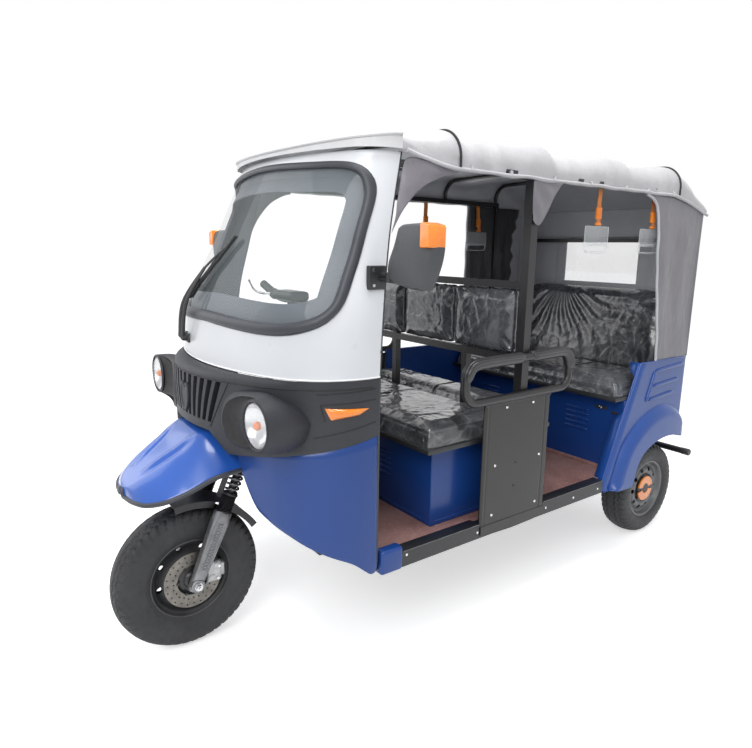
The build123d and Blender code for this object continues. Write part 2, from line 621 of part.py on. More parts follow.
def make_rear_body():
    axle_at = (wheelbase, rear_tyre_r)
    (top_y, top_z), (foot_y, foot_z) = quarter_lean
    outline = [(foot_y, foot_z), (tail_y, foot_z), (tail_y, top_z), (top_y, top_z)]
    x0, x1 = body_half - wall, body_half
    side = side_prism(outline, x0, x1)
    side -= revolve_ring(0.1, arch_r, x0 - 5, x1 + 5, axle_at)
    cone = Polyline((x1, flare_r), (x1 + flare_out, arch_r), (x0, arch_r), (x0, arch_r + flare_t),
                    (x1 - 2, flare_r), close=True)
    flare = Pos(0, *axle_at) * revolve(make_face(cone), Axis.X)
    flare -= Pos(0, *axle_at) * revolve(make_face(Polyline(
        (x1 - wall - 1, flare_r - 40), (x1 - wall - 1, arch_r - 1), (x1 + flare_out - flare_t * 1.6, arch_r - 1),
        (x1 - wall, flare_r - 40), close=True)), Axis.X)
    flare &= side_prism([(foot_y, foot_z + 4), (tail_y, foot_z + 4), (tail_y, top_z), (foot_y, top_z)],
                        x0, x1 + 200)
    quarter = side + flare
    for z in (808.0, 880.0, 952.0):
        quarter += block(x1 - 1, x1 + 4, top_y + 60 + (z - 880) * 0.25, wheelbase + 20, z, z + 16)
    keep("rear_quarter_left", quarter)
    keep("rear_quarter_right", mirror(quarter, Plane.YZ))
    tail = block(-x0 + seat_gap, x0 - seat_gap, tail_y - tail_t, tail_y, 410, quarter_top)
    inner_x = rear_track / 2 - rear_tyre_w / 2 - 32
    for at in (inner_x, -x1):
        tail -= revolve_ring(0.1, arch_r, at, at + x1 - inner_x, axle_at)
    for x in (-plate_pitch / 2, plate_pitch / 2):
        tail -= rod((x, tail_y - 40, plate_z), (x, tail_y + 40, plate_z), plate_hole_r)
    keep("tail_panel", tail)
    lamps = block(420, 500, tail_y + seat_gap, tail_y + 26, 690, 850)
    keep("tail_lamps", pair(lamps))
    lean_rate = (top_y - foot_y) / (top_z - foot_z)
    wall_top = 965.0
    edge = [foot_y + lean_rate * (z - foot_z) - seat_gap for z in (skirt_top, wall_top)]
    keep("side_wall_right", side_prism([(panel_back, skirt_top), (edge[0], skirt_top), (edge[1], wall_top),
                                        (panel_back, wall_top)], -x1, -x0))


def make_side_panels():
    keep("centre_panels", pair(block(body_half - panel_t, body_half, panel_front, panel_back,
                                     skirt_top, panel_top)))
    keep("pillars", pair(block(body_half - pillar_w, body_half, pillar_y - pillar_w / 2,
                               pillar_y + pillar_w / 2, panel_top, roof_rail_z)))
    x = body_half + armrest_r + seat_gap
    loop = [(x, 1485, 965), (x, 1485, 1125), (x, 1205, 1118), (x, 872, 1116), (x, 872, 965)]
    path = FilletPolyline(*loop, radius=armrest_bend, close=True)
    start = Plane(origin=path @ 0, z_dir=path % 0)
    armrest = sweep(start * Circle(armrest_r), path=path)
    keep("armrest_left", armrest)
    keep("armrest_right", mirror(armrest, Plane.YZ))


def arch_face(row, inset=0.0, foot=None):
    """Roof section at one station, as a face across the vehicle."""
    station, half, side, crown, radius, _ = row
    foot = min(canopy_skirt_z, side - 8) if foot is None else foot
    return Pos(0, station, 0) * (Plane.XZ * bow(half, side, crown, radius, foot, inset))


def cover_rows():
    """Roof sections with a flat over each hoop, so that the cloth clears the tube."""
    rows = []
    for row in canopy_sections:
        flats = (-hoop_r - 2, hoop_r + 2) if row[-1] else (0.0,)
        rows += [(row[0] + step, *row[1:]) for step in flats]
    return rows


def make_roof():
    rail_x0, rail_x1 = body_half - roof_rail - 2, body_half - 2
    rail_top = roof_rail_z + roof_rail
    last_hoop = canopy_sections[-2][0]
    rail_end = last_hoop + roof_rail / 2
    first_hoop = canopy_sections[2][0]
    front_row = shell_row(rail_top)
    toe = rail_x1 - front_row[1]
    front_end = front_row[-1] + seat_gap
    plan = Plane.XY * Polygon((rail_x0, rail_end), (rail_x1, rail_end), (rail_x1, first_hoop),
                              (rail_x1 - toe, front_end), (rail_x0 - toe, front_end), (rail_x0, first_hoop),
                              align=None)
    keep("roof_rails", pair(Pos(0, 0, roof_rail_z) * extrude(plan, roof_rail, dir=(0, 0, 1))))
    hoops = []
    for row in canopy_sections:
        if not row[-1]:
            continue
        section = arch_face(row, canopy_t + hoop_room + hoop_r, rail_top)
        edges = [edge for edge in section.edges() if abs(edge.center().Z - rail_top) > 1]
        path = Wire(edges)
        start = Plane(origin=path @ 0, z_dir=path % 0)
        hoops.append(sweep(start * Circle(hoop_r), path=path))
    keep("roof_hoops", Compound(children=hoops))
    post = block(rail_x0, rail_x1, rail_end - roof_rail, rail_end, quarter_top, roof_rail_z)
    bar_half_w, bar_y, bar_z, bar_w = body_half - 57.0, tail_y - 28.0, 1590.0, 22.0
    back = block(-bar_half_w, bar_half_w, bar_y, bar_y + bar_w, bar_z, bar_z + bar_w)
    for side in (-1, 1):
        x0, x1 = sorted((side * bar_half_w, side * (bar_half_w - 24)))
        back += block(x0, x1, bar_y, bar_y + bar_w, quarter_top, 1700)
    keep("rear_frame", Compound(children=[post, mirror(post, Plane.YZ), back]))

    rows = cover_rows()
    outer = loft([arch_face(row) for row in rows], ruled=True)
    inner = loft([arch_face(row, canopy_t, 1500.0) for row in rows], ruled=True)
    cover = outer - inner
    nose = shell_sections[-1]
    front = bow(canopy_front_half, nose[2], nose[3] - canopy_lip, nose[4] + canopy_lip, nose[2] + 10)
    behind = Polygon((canopy_front_half, nose[2]), (canopy_half + 9, first_hoop), (canopy_half + 9, far_back),
                     (-canopy_half - 9, far_back), (-canopy_half - 9, first_hoop), (-canopy_front_half, nose[2]),
                     align=None)
    cover = cover & (Pos(0, 0, 1700) * (extrude(front, 500) + extrude(behind, 500, dir=(0, 0, 1))))
    cover -= block(-body_half, body_half, 0, nose[-1] + 6, 1500, shell_top_z + seat_gap)
    keep("roof_cover", cover)


def make_curtain():
    """Fabric round the rear: two side walls, a back wall with a window, and the corner gussets."""
    last, hoop = canopy_sections[-1], canopy_sections[-2]
    low = quarter_top + seat_gap
    end_foot = min(canopy_skirt_z, last[2] - 8)
    lean_y = quarter_lean[0][0]
    left_edge = [(lean_y - 70, canopy_skirt_z - seat_gap), (lean_y - 20, 1750), (lean_y, 1690), (lean_y + 25, 1500),
                 (lean_y + 105, low)]
    right_edge = [(lean_y - 90, canopy_skirt_z - seat_gap), (lean_y - 90, low)]
    walls = []
    for side, front_edge in ((1, left_edge), (-1, right_edge)):
        sides = [*front_edge, (last[0], low), (last[0], end_foot - seat_gap),
                 (hoop[0] + hoop_r + 2, canopy_skirt_z - seat_gap)]
        x0, x1 = sorted((side * (canopy_half - canopy_t), side * canopy_half))
        walls.append(side_prism(sides, x0, x1))
    back = extrude(arch_face(last, canopy_t + seat_gap, low), canopy_t, dir=(0, -1, 0))
    window_half, window_low, window_high = 250.0, 1350.0, 1620.0
    back -= block(-window_half, window_half, last[0] - 50, last[0] + 50, window_low, window_high)
    corner = block(canopy_half - canopy_t - 2 * seat_gap, canopy_half - canopy_t, last[0] - canopy_t, last[0],
                   low, end_foot - seat_gap)
    back = back + walls[0] + walls[1] + corner + mirror(corner, Plane.YZ)
    keep("rear_curtain", back)
    edge = seat_gap
    keep("rear_window", block(-window_half + edge, window_half - edge, last[0] - 4, last[0] - 2,
                              window_low + edge, window_high - edge))
    top = roof_rail_z - seat_gap
    low_row, high_row = shell_row(1600.0), shell_row(top)
    gusset_t = 2.0            # half the plate's thickness
    foot = Vector(low_row[1] - 8, low_row[-1] + 3, low_row[0])
    head = Vector(high_row[1] - 8, high_row[-1] + 3, top)
    hoop_at = Vector(body_half - 14, canopy_sections[2][0] - 12, top)
    waist = foot * 0.5 + hoop_at * 0.42 + head * 0.08
    sail = make_face(Polyline(foot, head, hoop_at, waist, close=True))
    above = block(0, body_half + 50, 0, far_back, top, top + 50)
    keep("gussets", pair(extrude(sail, gusset_t, both=True) - above))


def make_fittings():
    for name, side in (("left", 1), ("right", -1)):
        head = side_prism([(488, 1412), (512, 1412), (520, 1608), (476, 1608)], 0, 165)
        head = Pos(665, 0, 0) * head
        base = shell_row(1405.0)[1] + seat_gap
        arm = block(base, 700, 496, 504, 1438, 1462) + block(base, base + 12, 440, 506, 1405, 1480)
        mirror_piece = head + arm
        keep("mirror_" + name, mirror_piece if side > 0 else mirror(mirror_piece, Plane.YZ))
    pivot_x, tip_x = -120.0, -55.0
    pivot_z, tip_z = 1180.0, 1440.0
    pivot_y = skin_station(pivot_x, pivot_z)
    tip_y = skin_station(tip_x, tip_z) - 24
    boss_gap = 2.1            # keeps the round boss off the sloping skin
    wiper = rod((pivot_x, pivot_y - 44, pivot_z), (tip_x, tip_y, tip_z), 7)
    wiper += rod((pivot_x, pivot_y - 50, pivot_z), (pivot_x, pivot_y - boss_gap, pivot_z), 12)
    blade = [(-45.0, 1310.0), (55.0, 1570.0)]
    blade = [(x, skin_station(x, z) - 22, z) for x, z in blade]
    wiper += rod(*blade, 7)
    wiper += rod((tip_x, tip_y, tip_z), (5, skin_station(5, tip_z) - 24, tip_z), 6)
    keep("wiper", wiper)
    straps = []
    strap_x, plate_half = body_half - 22.5, 85.0
    for y in (wheelbase - 740.0, wheelbase - 320.0):
        strap = block(strap_x - 1.5, strap_x + 1.5, y - 13, y + 13, 1640, roof_rail_z - seat_gap)
        strap += block(strap_x - 4.5, strap_x + 4.5, y - plate_half, y + plate_half, 1530, 1640)
        straps += [strap, mirror(strap, Plane.YZ)]
    keep("hand_straps", Compound(children=straps))


def main():
    make_front_shell()
    make_beak()
    head, bore = make_fork()
    make_wheels()
    make_chassis(head, bore)
    make_seats()
    make_rear_body()
    make_side_panels()
    make_roof()
    make_curtain()
    make_fittings()
    os.makedirs("parts", exist_ok=True)
    for name, shape in pieces.items():
        solids = [Pos(0, front_axle_y, 0) * solid for solid in shape.solids()]
        whole = solids[0] if len(solids) == 1 else Compound(children=solids)
        export_step(whole, f"parts/{name}.step")
        print(name, len(solids), [round(v) for v in (*whole.bounding_box().min, *whole.bounding_box().max)])


main()
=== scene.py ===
# Passenger auto rickshaw: finishes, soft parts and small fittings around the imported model.
from math import atan2, copysign, cos, degrees, exp, hypot, pi, radians, sin, sqrt, tau

import bmesh
import bpy
from mathutils import Matrix, Vector, noise


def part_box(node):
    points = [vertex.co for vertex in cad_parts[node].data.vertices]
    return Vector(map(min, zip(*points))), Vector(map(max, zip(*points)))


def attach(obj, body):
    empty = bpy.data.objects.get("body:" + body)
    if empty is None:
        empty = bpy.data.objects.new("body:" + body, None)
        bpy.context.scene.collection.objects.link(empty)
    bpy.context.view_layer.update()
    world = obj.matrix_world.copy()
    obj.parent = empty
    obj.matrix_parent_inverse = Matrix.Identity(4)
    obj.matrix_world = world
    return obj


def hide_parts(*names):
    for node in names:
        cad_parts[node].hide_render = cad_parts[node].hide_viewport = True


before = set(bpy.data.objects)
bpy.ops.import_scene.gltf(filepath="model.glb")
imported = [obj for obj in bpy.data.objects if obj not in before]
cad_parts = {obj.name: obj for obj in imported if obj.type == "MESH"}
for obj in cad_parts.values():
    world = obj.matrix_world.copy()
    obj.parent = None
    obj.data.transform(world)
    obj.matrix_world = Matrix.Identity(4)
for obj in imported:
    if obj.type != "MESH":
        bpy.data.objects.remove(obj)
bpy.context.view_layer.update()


def corners(node):
    return [Vector(corner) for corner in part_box(node)]


def middle(node):
    return sum(corners(node), Vector()) / 2


frontAxle = middle("front_tyre").y


def at(x, station, z):
    # stations are metres behind the front axle
    return Vector((x, station + frontAxle, z))


class Wire:
    # a shader socket that can stand in a sum
    def __init__(self, owner, socket):
        self.owner, self.socket = owner, socket

    def sum(self, operation, other):
        return self.owner.node("Math", {"operation": operation}, {0: self, 1: other})

    def __add__(self, other):
        return self.sum("ADD", other)

    def __mul__(self, other):
        return self.sum("MULTIPLY", other)

    __radd__, __rmul__ = __add__, __mul__  # the same either way round


class Nodes:
    # a node tree that is filled by name
    def __init__(self, tree):
        self.tree = tree

    def node(self, kind, settings={}, sockets={}, out=0):
        made = self.tree.nodes.new("ShaderNode" + kind)
        for label, value in settings.items():
            if label == "stops":
                ramp = made.color_ramp
                while len(ramp.elements) < len(value):
                    ramp.elements.new(0.5)
                for element, (spot, shade) in zip(ramp.elements, value):
                    element.position = spot
                    element.color = shade if isinstance(shade, tuple) else (shade, shade, shade, 1)
            else:
                setattr(made, label, value)
        for label, value in sockets.items():
            if isinstance(value, Wire):
                self.tree.links.new(value.socket, made.inputs[label])
            else:
                made.inputs[label].default_value = value
        return Wire(self, made.outputs[out])


class Finish(Nodes):
    # a material and its main shader
    def __init__(self, name, **fixed):
        self.material = bpy.data.materials.new(name)
        self.material.use_nodes = True
        super().__init__(self.material.node_tree)
        self.shader = self.tree.nodes["Principled BSDF"]
        for label, value in fixed.items():
            self.feed(label.replace("_", " "), value)
        self.place = self.node("TexCoord", out="Object")

    def feed(self, label, value):
        socket = self.shader.inputs[label]
        if isinstance(value, Wire):
            self.tree.links.new(value.socket, socket)
        else:
            socket.default_value = value

    def grain(self, scale, detail=4, roughness=0.55, stretch=None):
        spot = self.node("Mapping", {}, {"Vector": self.place, "Scale": stretch}) if stretch else self.place
        return self.node("TexNoise", {}, {"Vector": spot, "Scale": scale, "Detail": detail,
            "Roughness": roughness})

    def cells(self, scale, feature="F1", place=None):
        return self.node("TexVoronoi", {"feature": feature}, {"Vector": place or self.place, "Scale": scale})

    def mixed(self, share, first, second):
        return self.node("Mix", {"data_type": "RGBA"}, {0: share, 6: first, 7: second}, 2)

    def ramp(self, source, *stops):
        return self.node("ValToRGB", {"stops": stops}, {"Fac": source}, "Color")

    def shades(self, source, dark, light, start=0.3, stop=0.7):
        return self.ramp(source, (start, (*dark, 1)), (stop, (*light, 1)))

    def dress(self, colour, gloss, height, depth, strength=1):
        self.feed("Base Color", colour)
        self.feed("Roughness", self.ramp(*gloss))
        facts = {"Height": height, "Distance": depth, "Strength": strength}
        self.feed("Normal", self.node("Bump", {}, facts, "Normal"))
        return self


def grainy(name, dark, light, rough=(0.4, 0.6), scale=9, dust=60, relief=0.0004, **fixed):
    # paint, plastic or rubber: broad cloudy shading, fine specks in the gloss and a faint relief
    made = Finish(name, **fixed)
    return made.dress(made.shades(made.grain(scale), dark, light), (made.grain(dust, 6, 0.7), (0.3, rough[0]),
        (0.75, rough[1])), made.grain(dust * 3, 3), relief)


bluePaint = grainy("blue paint", (0.0075, 0.043, 0.2), (0.01, 0.052, 0.24), (0.3, 0.38), 1.6, 6, 0,
    Coat_Weight=0.2, Coat_Roughness=0.12, Specular_IOR_Level=0.32)
# the body blue made lighter for the quarter panels, tail panel and their ribs: painted light standing for the
# sky lighting them
quarterBlueWithPaintedLight = grainy("quarter blue with painted light", (0.0095, 0.056, 0.255), (0.0125, 0.067, 0.3), (0.28, 0.36), 1.6, 6, 0,
    Coat_Weight=0.3, Coat_Roughness=0.12, Specular_IOR_Level=0.4)
whitePaint = grainy("white gelcoat", (0.64, 0.655, 0.68), (0.7, 0.715, 0.74), (0.26, 0.4), 1.8, 8, 0,
    Coat_Weight=0.5, Coat_Roughness=0.15)
bandPlastic = grainy("band plastic", (0.022, 0.0235, 0.029), (0.032, 0.0335, 0.04), (0.46, 0.62), 5, 90,
    0.0003, Specular_IOR_Level=0.4)
sealRubber = grainy("seal rubber", (0.022, 0.025, 0.034), (0.034, 0.038, 0.048), (0.38, 0.52), 7, 110, 0.0003)
blackSteel = grainy("black powder coat", (0.012, 0.012, 0.013), (0.022, 0.022, 0.024), (0.3, 0.46), 6, 140,
    0.0003)
panelSteel = grainy("centre panel coat", (0.0105, 0.0095, 0.0085), (0.015, 0.0135, 0.0115), (0.32, 0.46), 4,
    90, 0.0003)
sillSteel = grainy("sill coat", (0.009, 0.0095, 0.011), (0.015, 0.0155, 0.017), (0.36, 0.5), 4, 90, 0.0003)
castAlloy = grainy("cast alloy", (0.15, 0.155, 0.16), (0.25, 0.255, 0.265), (0.38, 0.6), 14, 160, 0.0006,
    Metallic=0.75)
brightSteel = grainy("plated steel", (0.5, 0.5, 0.51), (0.68, 0.68, 0.69), (0.16, 0.32), 20, 90, 0.0002,
    Metallic=1)
discSteel = grainy("disc steel", (0.14, 0.13, 0.118), (0.23, 0.215, 0.195), (0.34, 0.55), 30, 120, 0.0003,
    Metallic=0.85)
rimPaint = grainy("wheel paint", (0.03, 0.031, 0.033), (0.055, 0.056, 0.058), (0.36, 0.52), 10, 90, 0.0003)
rearRimPaint = grainy("rear wheel paint", (0.1, 0.105, 0.11), (0.17, 0.175, 0.18), (0.36, 0.52), 10, 90,
    0.0003, Metallic=0.3)
castIron = grainy("cast iron", (0.05, 0.05, 0.05), (0.09, 0.088, 0.085), (0.5, 0.75), 16, 120, 0.0008)
blackPlastic = grainy("black plastic", (0.014, 0.0145, 0.016), (0.024, 0.025, 0.027), (0.36, 0.55), 8, 120,
    0.0003)
mirrorPlastic = grainy("mirror housing plastic", (0.04, 0.044, 0.05), (0.058, 0.062, 0.068), (0.45, 0.6), 6,
    130, 0.0004)
orangePlastic = grainy("orange lens", (0.85, 0.19, 0.012), (1, 0.3, 0.02), (0.12, 0.24), 12, 60, 0.0002,
    Coat_Weight=0.6, Coat_Roughness=0.05)
redPlastic = grainy("red lens", (0.45, 0.012, 0.01), (0.6, 0.02, 0.015), (0.12, 0.24), 12, 60, 0.0002,
    Coat_Weight=0.6, Coat_Roughness=0.05)


def madeTyre():
    made = Finish("tyre rubber")
    colour = made.shades(made.grain(6, 5, 0.6), (0.018, 0.019, 0.021), (0.036, 0.037, 0.039))
    return made.dress(colour, (made.grain(40, 6, 0.7), (0.3, 0.5), (0.7, 0.72)), made.grain(220, 3), 0.0004)


def madeMat():
    made = Finish("floor mat")
    worn = made.grain(5, 6, 0.6)
    grit = made.grain(70, 5, 0.7)
    colour = made.mixed(made.ramp(grit, (0.52, 0), (0.75, 0.55)), made.shades(worn, (0.19, 0.085, 0.075),
        (0.34, 0.19, 0.17)), (0.5, 0.4, 0.37, 1))
    return made.dress(colour, (grit, (0.3, 0.55), (0.7, 0.8)), made.cells(160), 0.0008, 0.6)


def madeCanvas(name, dark, light):
    # coated cloth: fine weave, soft cloudy shading and broad shallow creases
    made = Finish(name, Sheen_Weight=0.15, Sheen_Roughness=0.5)
    colour = made.shades(made.grain(2.6, 5, 0.6), dark, light)
    weave = made.cells(900) * 0.25
    crease = made.grain(7, 4, 0.5, (1, 2.2, 1)) * 8
    return made.dress(colour, (made.grain(14, 5, 0.65), (0.3, 0.3), (0.7, 0.46)), weave + crease, 0.0012, 0.8)


def madeWrapped(name, tone, milkAndSheen=0.05, turn=0.6, relief=0.009):
    # black seat cover under a crumpled clear wrap: milky film tone that is partly real haze and partly painted
    # sky sheen, painted highlights along the creases, straight creases at several sizes
    made = Finish(name, Coat_Weight=0.8, Coat_Roughness=0.12)
    film = made.grain(3, 5, 0.6)
    wander = made.node("TexNoise", {}, {"Vector": made.place, "Scale": 2.5, "Detail": 2}, "Color")
    bent = made.node("VectorMath", {"operation": "MULTIPLY_ADD"},
        {0: wander, 1: (0.25, 0.25, 0.25), 2: made.place})
    long = made.node("Mapping", {}, {"Vector": bent, "Rotation": (0.3, 0.5, turn), "Scale": (1, 0.28, 0.6)})
    broad, fine = (made.cells(scale, "DISTANCE_TO_EDGE", place) for scale, place in ((11, long), (24, bent)))
    ridge = made.ramp(broad, (0, 1), (0.035, 0.35), (0.11, 0))
    small = made.ramp(fine, (0, 1), (0.05, 0.2), (0.12, 0)) * made.ramp(film, (0.35, 0), (0.6, 1))
    # the cloudy pale bluish tone is partly real milky film and partly painted sheen; ridge and small add
    # painted highlights along the crease lines
    milkAndPaintedSheen = made.ramp(film, (0.3, 0), (0.75, 1)) * milkAndSheen + ridge * 0.1 + small * 0.07
    colour = made.mixed(milkAndPaintedSheen, (*tone, 1), (0.62, 0.65, 0.7, 1))
    creases = broad * 0.8 + ridge * 0.1 + fine * 0.25 + small * 0.05
    return made.dress(colour, (film, (0.3, 0.2), (0.7, 0.34)), creases, relief, 0.8)


def madeGlass(name, tint, alpha, rough=0.03):
    made = Finish(name, IOR=1.5, Transmission_Weight=0, Coat_Weight=1, Coat_Roughness=0.02)
    smear = made.grain(3.5, 4, 0.6)
    made.feed("Base Color", made.shades(smear, tint, tuple(min(1, 1.1 * c) for c in tint)))
    made.feed("Roughness", made.ramp(smear, (0.3, rough), (0.8, rough * 2)))
    made.feed("Alpha", made.ramp(smear, (0.3, alpha), (0.8, alpha * 1.25)))
    return made


def madeWebbing():
    made = Finish("orange webbing", Sheen_Weight=0.3)
    rib = made.node("TexWave", {"wave_type": "BANDS", "bands_direction": "Z"},
        {"Vector": made.place, "Scale": 220, "Distortion": 0.4})
    colour = made.shades(rib, (0.75, 0.2, 0.01), (0.95, 0.33, 0.03), 0.2, 0.8)
    return made.dress(colour, (made.grain(60), (0.3, 0.6), (0.7, 0.8)), rib, 0.0006)


tyreRubber = madeTyre()
# the body blue made lighter for the beak: painted light standing for the sky lighting its upper face
beakBlueWithPaintedLight = grainy("beak blue with painted light", (0.013, 0.078, 0.36), (0.017, 0.092, 0.42), (0.2, 0.28), 1.6, 6, 0,
    Coat_Weight=0.45, Coat_Roughness=0.1)
linerPlastic = grainy("cab liner", (0.03, 0.038, 0.058), (0.05, 0.062, 0.088), (0.45, 0.6), 5, 60, 0.0004)
# near-black for the band grooves, cover piping and small discs on the side panels; in the lamp bowls it is
# painted shade
blackAndPaintedShade = grainy("groove black and painted shade", (0.006, 0.006, 0.007), (0.012, 0.012, 0.013), (0.6, 0.8), 8, 60, 0.0002)
seamWhite = grainy("bright seam", (0.86, 0.86, 0.87), (0.95, 0.95, 0.95), (0.14, 0.24), 8, 60, 0.0002,
    Coat_Weight=0.8, Coat_Roughness=0.05)
chrome = grainy("lamp reflector", (0.75, 0.76, 0.78), (0.86, 0.87, 0.88), (0.06, 0.14), 8, 60, 0.0001,
    Metallic=1)
matRubber = madeMat()
padRubber = grainy("arm pad rubber", (0.02, 0.0205, 0.022), (0.034, 0.035, 0.038), (0.26, 0.4), 8, 120,
    0.0003)
canvas = madeCanvas("canopy cloth", (0.4, 0.395, 0.41), (0.52, 0.515, 0.53))
brimCloth = madeCanvas("brim cloth", (0.62, 0.62, 0.63), (0.72, 0.72, 0.73))
sideCloth = madeCanvas("curtain cloth", (0.14, 0.132, 0.15), (0.21, 0.2, 0.22))
# inner face of the cover and curtains: its own grey made much lighter, painted light standing for daylight
# coming through the cloth
liningWithPaintedLight = madeCanvas("curtain lining with painted light", (0.44, 0.45, 0.48), (0.52, 0.53, 0.56))
wrappedSeat = madeWrapped("wrapped seat cover", (0.008, 0.0085, 0.009), 0.22)
wrappedBack = madeWrapped("wrapped backrest", (0.014, 0.016, 0.02), 0.15, 0.1, 0.006)
wrappedPad = madeWrapped("wrapped pad", (0.018, 0.02, 0.024), 0.17, -0.4)
windscreenGlass = madeGlass("windscreen glass", (0.62, 0.7, 0.7), 0.13)
lampGlass = madeGlass("lamp glass", (0.8, 0.85, 0.88), 0.16)
clearFilm = madeGlass("clear film", (0.8, 0.83, 0.85), 0.3, 0.12)
webbing = madeWebbing()
springSteel = grainy("spring steel", (0.1, 0.1, 0.105), (0.2, 0.2, 0.21), (0.25, 0.4), 20, 90, 0.0002,
    Metallic=0.8)
caliperSilver = grainy("caliper casting", (0.36, 0.365, 0.37), (0.5, 0.505, 0.51), (0.35, 0.5), 30, 120,
    0.0004, Metallic=0.6)
darkCloth = madeCanvas("dark curtain", (0.022, 0.023, 0.026), (0.036, 0.037, 0.041))
strapPlastic = grainy("strap buckle", (0.8, 0.2, 0.015), (0.95, 0.3, 0.03), (0.3, 0.45), 20, 80, 0.0003)

# nodes by finish
nodeFinishes = (
    (bluePaint, "front_shell_lower beak_mudguard sill_feet middle_box rear_seat_box rear_quarter_left "
     "rear_quarter_right tail_panel side_wall_right"),
    (whitePaint, "front_shell_upper"),
    (bandPlastic, "front_band"),
    (lampGlass, "headlamps"),
    (orangePlastic, "turn_signals"),
    (sealRubber, "screen_gasket"),
    (windscreenGlass, "windscreen"),
    (castAlloy, "fork_legs brake_caliper"),
    (blackSteel, "fork_springs fork_yokes handlebar ladder_frame floor_deck rear_axle leaf_springs rear_bumper "
     "backrest_frame pillars armrest_left armrest_right roof_rails roof_hoops rear_frame"),
    (blackPlastic, "inner_mudguard toe_board wiper"),
    (rimPaint, "front_rim"),
    (tyreRubber, "front_tyre rear_tyre_left rear_tyre_right"),
    (rearRimPaint, "rear_rim_left rear_rim_right"),
    (matRubber, "floor_mat"),
    (castIron, "engine_block"),
    (sillSteel, "sill_left sill_right"),
    (wrappedSeat, "driver_cushion facing_cushion backrest_pads rear_cushion rear_backrest"),
    (redPlastic, "tail_lamps"),
    (panelSteel, "centre_panels"),
    (canvas, "roof_cover rear_curtain gussets"),
    (clearFilm, "rear_window"),
    (mirrorPlastic, "mirror_left mirror_right"),
    (webbing, "hand_straps"),
)
for finish, names in nodeFinishes:
    for name in names.split():
        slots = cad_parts[name].data.materials
        slots.clear()
        slots.append(finish.material)
print("finishes on", sum(len(names.split()) for _, names in nodeFinishes), "nodes")


# shaping tools

def madeObject(name, bm, finishes):
    mesh = bpy.data.meshes.new(name)
    bm.to_mesh(mesh)
    bm.free()
    for finish in finishes:
        mesh.materials.append(finish.material)
    made = bpy.data.objects.new(name, mesh)
    bpy.context.collection.objects.link(made)
    return made


def settle(name, bm, finishes, body="chassis", stands=(), smooth=38):
    # turns a bmesh into a finished piece riding on a body
    piece = madeObject(name, bm, finishes if isinstance(finishes, list) else [finishes])
    piece.data.shade_smooth()
    if smooth < 180:
        piece.data.set_sharp_from_angle(angle=radians(smooth))
    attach(piece, body)
    if stands:
        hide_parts(*stands)
    return piece


def finishWith(piece, kind, **facts):
    # adds a modifier and applies it
    modifier = piece.modifiers.new(kind.lower(), kind)
    for label, value in facts.items():
        setattr(modifier, label, value)
    bpy.context.view_layer.update()
    shaped = piece.evaluated_get(bpy.context.evaluated_depsgraph_get())
    mesh = bpy.data.meshes.new_from_object(shaped)
    piece.modifiers.clear()
    old = piece.data
    piece.data = mesh
    bpy.data.meshes.remove(old)
    return piece


def thicken(piece, thickness, offset=-1, **facts):
    return finishWith(piece, "SOLIDIFY", thickness=thickness, offset=offset, **facts)


def empties(count):
    # fresh meshes to build in
    return [bmesh.new() for _ in range(count)]


def closeUp(bm, merge=1e-5):
    # merges doubles and turns the faces outwards
    if merge:
        bmesh.ops.remove_doubles(bm, verts=bm.verts, dist=merge)
    bmesh.ops.recalc_face_normals(bm, faces=bm.faces)
    return bm


def facesOf(verts, slot):
    # the faces at these points, put in a material slot
    faces = list({face for vert in verts for face in vert.link_faces})
    for face in faces:
        face.material_index = slot
    return faces


def surface(bm, across, along, spot, flip=False, slot=0):
    # a grid whose every point is placed by spot(u, v), both from 0 to 1
    made = bmesh.ops.create_grid(bm, x_segments=across, y_segments=along, size=0.5)["verts"]
    for vert in made:
        vert.co = spot(vert.co.x + 0.5, vert.co.y + 0.5)
    faces = facesOf(made, slot)
    if flip:
        bmesh.ops.reverse_faces(bm, faces=faces)
    return made


def ribbon(bm, rings, closed=True, slot=0, flip=False):
    # joins rows of points, each row as long as the next, into one skin
    count, steps = len(rings[0]), len(rings)
    spans = count if closed else count - 1

    def spot(u, v):
        row = rings[round(v * (steps - 1))]
        return row[round(u * spans) % count]

    made = surface(bm, spans, steps - 1, spot, flip, slot)
    bmesh.ops.remove_doubles(bm, verts=made, dist=1e-6)


def box(bm, low, high, edge=0.002, segments=2, slot=0):
    made = bmesh.ops.create_cube(bm, size=1)["verts"]
    low, high = (Vector(pick(a, b) for a, b in zip(low, high)) for pick in (min, max))
    for vert in made:
        vert.co = (low + high) / 2 + Vector(a * b for a, b in zip(vert.co, high - low))
    facesOf(made, slot)
    edges = list({e for vert in made for e in vert.link_edges})
    if edge:
        bmesh.ops.bevel(bm, geom=edges, offset=edge, offset_type="OFFSET", affect="EDGES", segments=segments,
            profile=0.5, material=-1)


def aim(direction):
    return Vector(direction).to_track_quat("Z", "Y").to_matrix().to_4x4()


def knob(bm, spot, direction, profile, steps=20, slot=0):
    # turned shape: profile is (distance along the direction, radius)
    before = set(bm.verts)
    points = [bm.verts.new((radius, 0, rise)) for rise, radius in profile]
    edges = [bm.edges.new(pair) for pair in zip(points[:-1], points[1:])]
    bmesh.ops.spin(bm, geom=points + edges, axis=(0, 0, 1), cent=(0, 0, 0), dvec=(0, 0, 0), angle=tau,
        steps=steps, use_merge=True, use_duplicate=False)
    bmesh.ops.remove_doubles(bm, verts=[v for v in bm.verts if v not in before], dist=2e-6)
    made = [v for v in bm.verts if v not in before]
    bmesh.ops.transform(bm, matrix=Matrix.Translation(Vector(spot)) @ aim(direction), verts=made)
    bmesh.ops.recalc_face_normals(bm, faces=facesOf(made, slot))


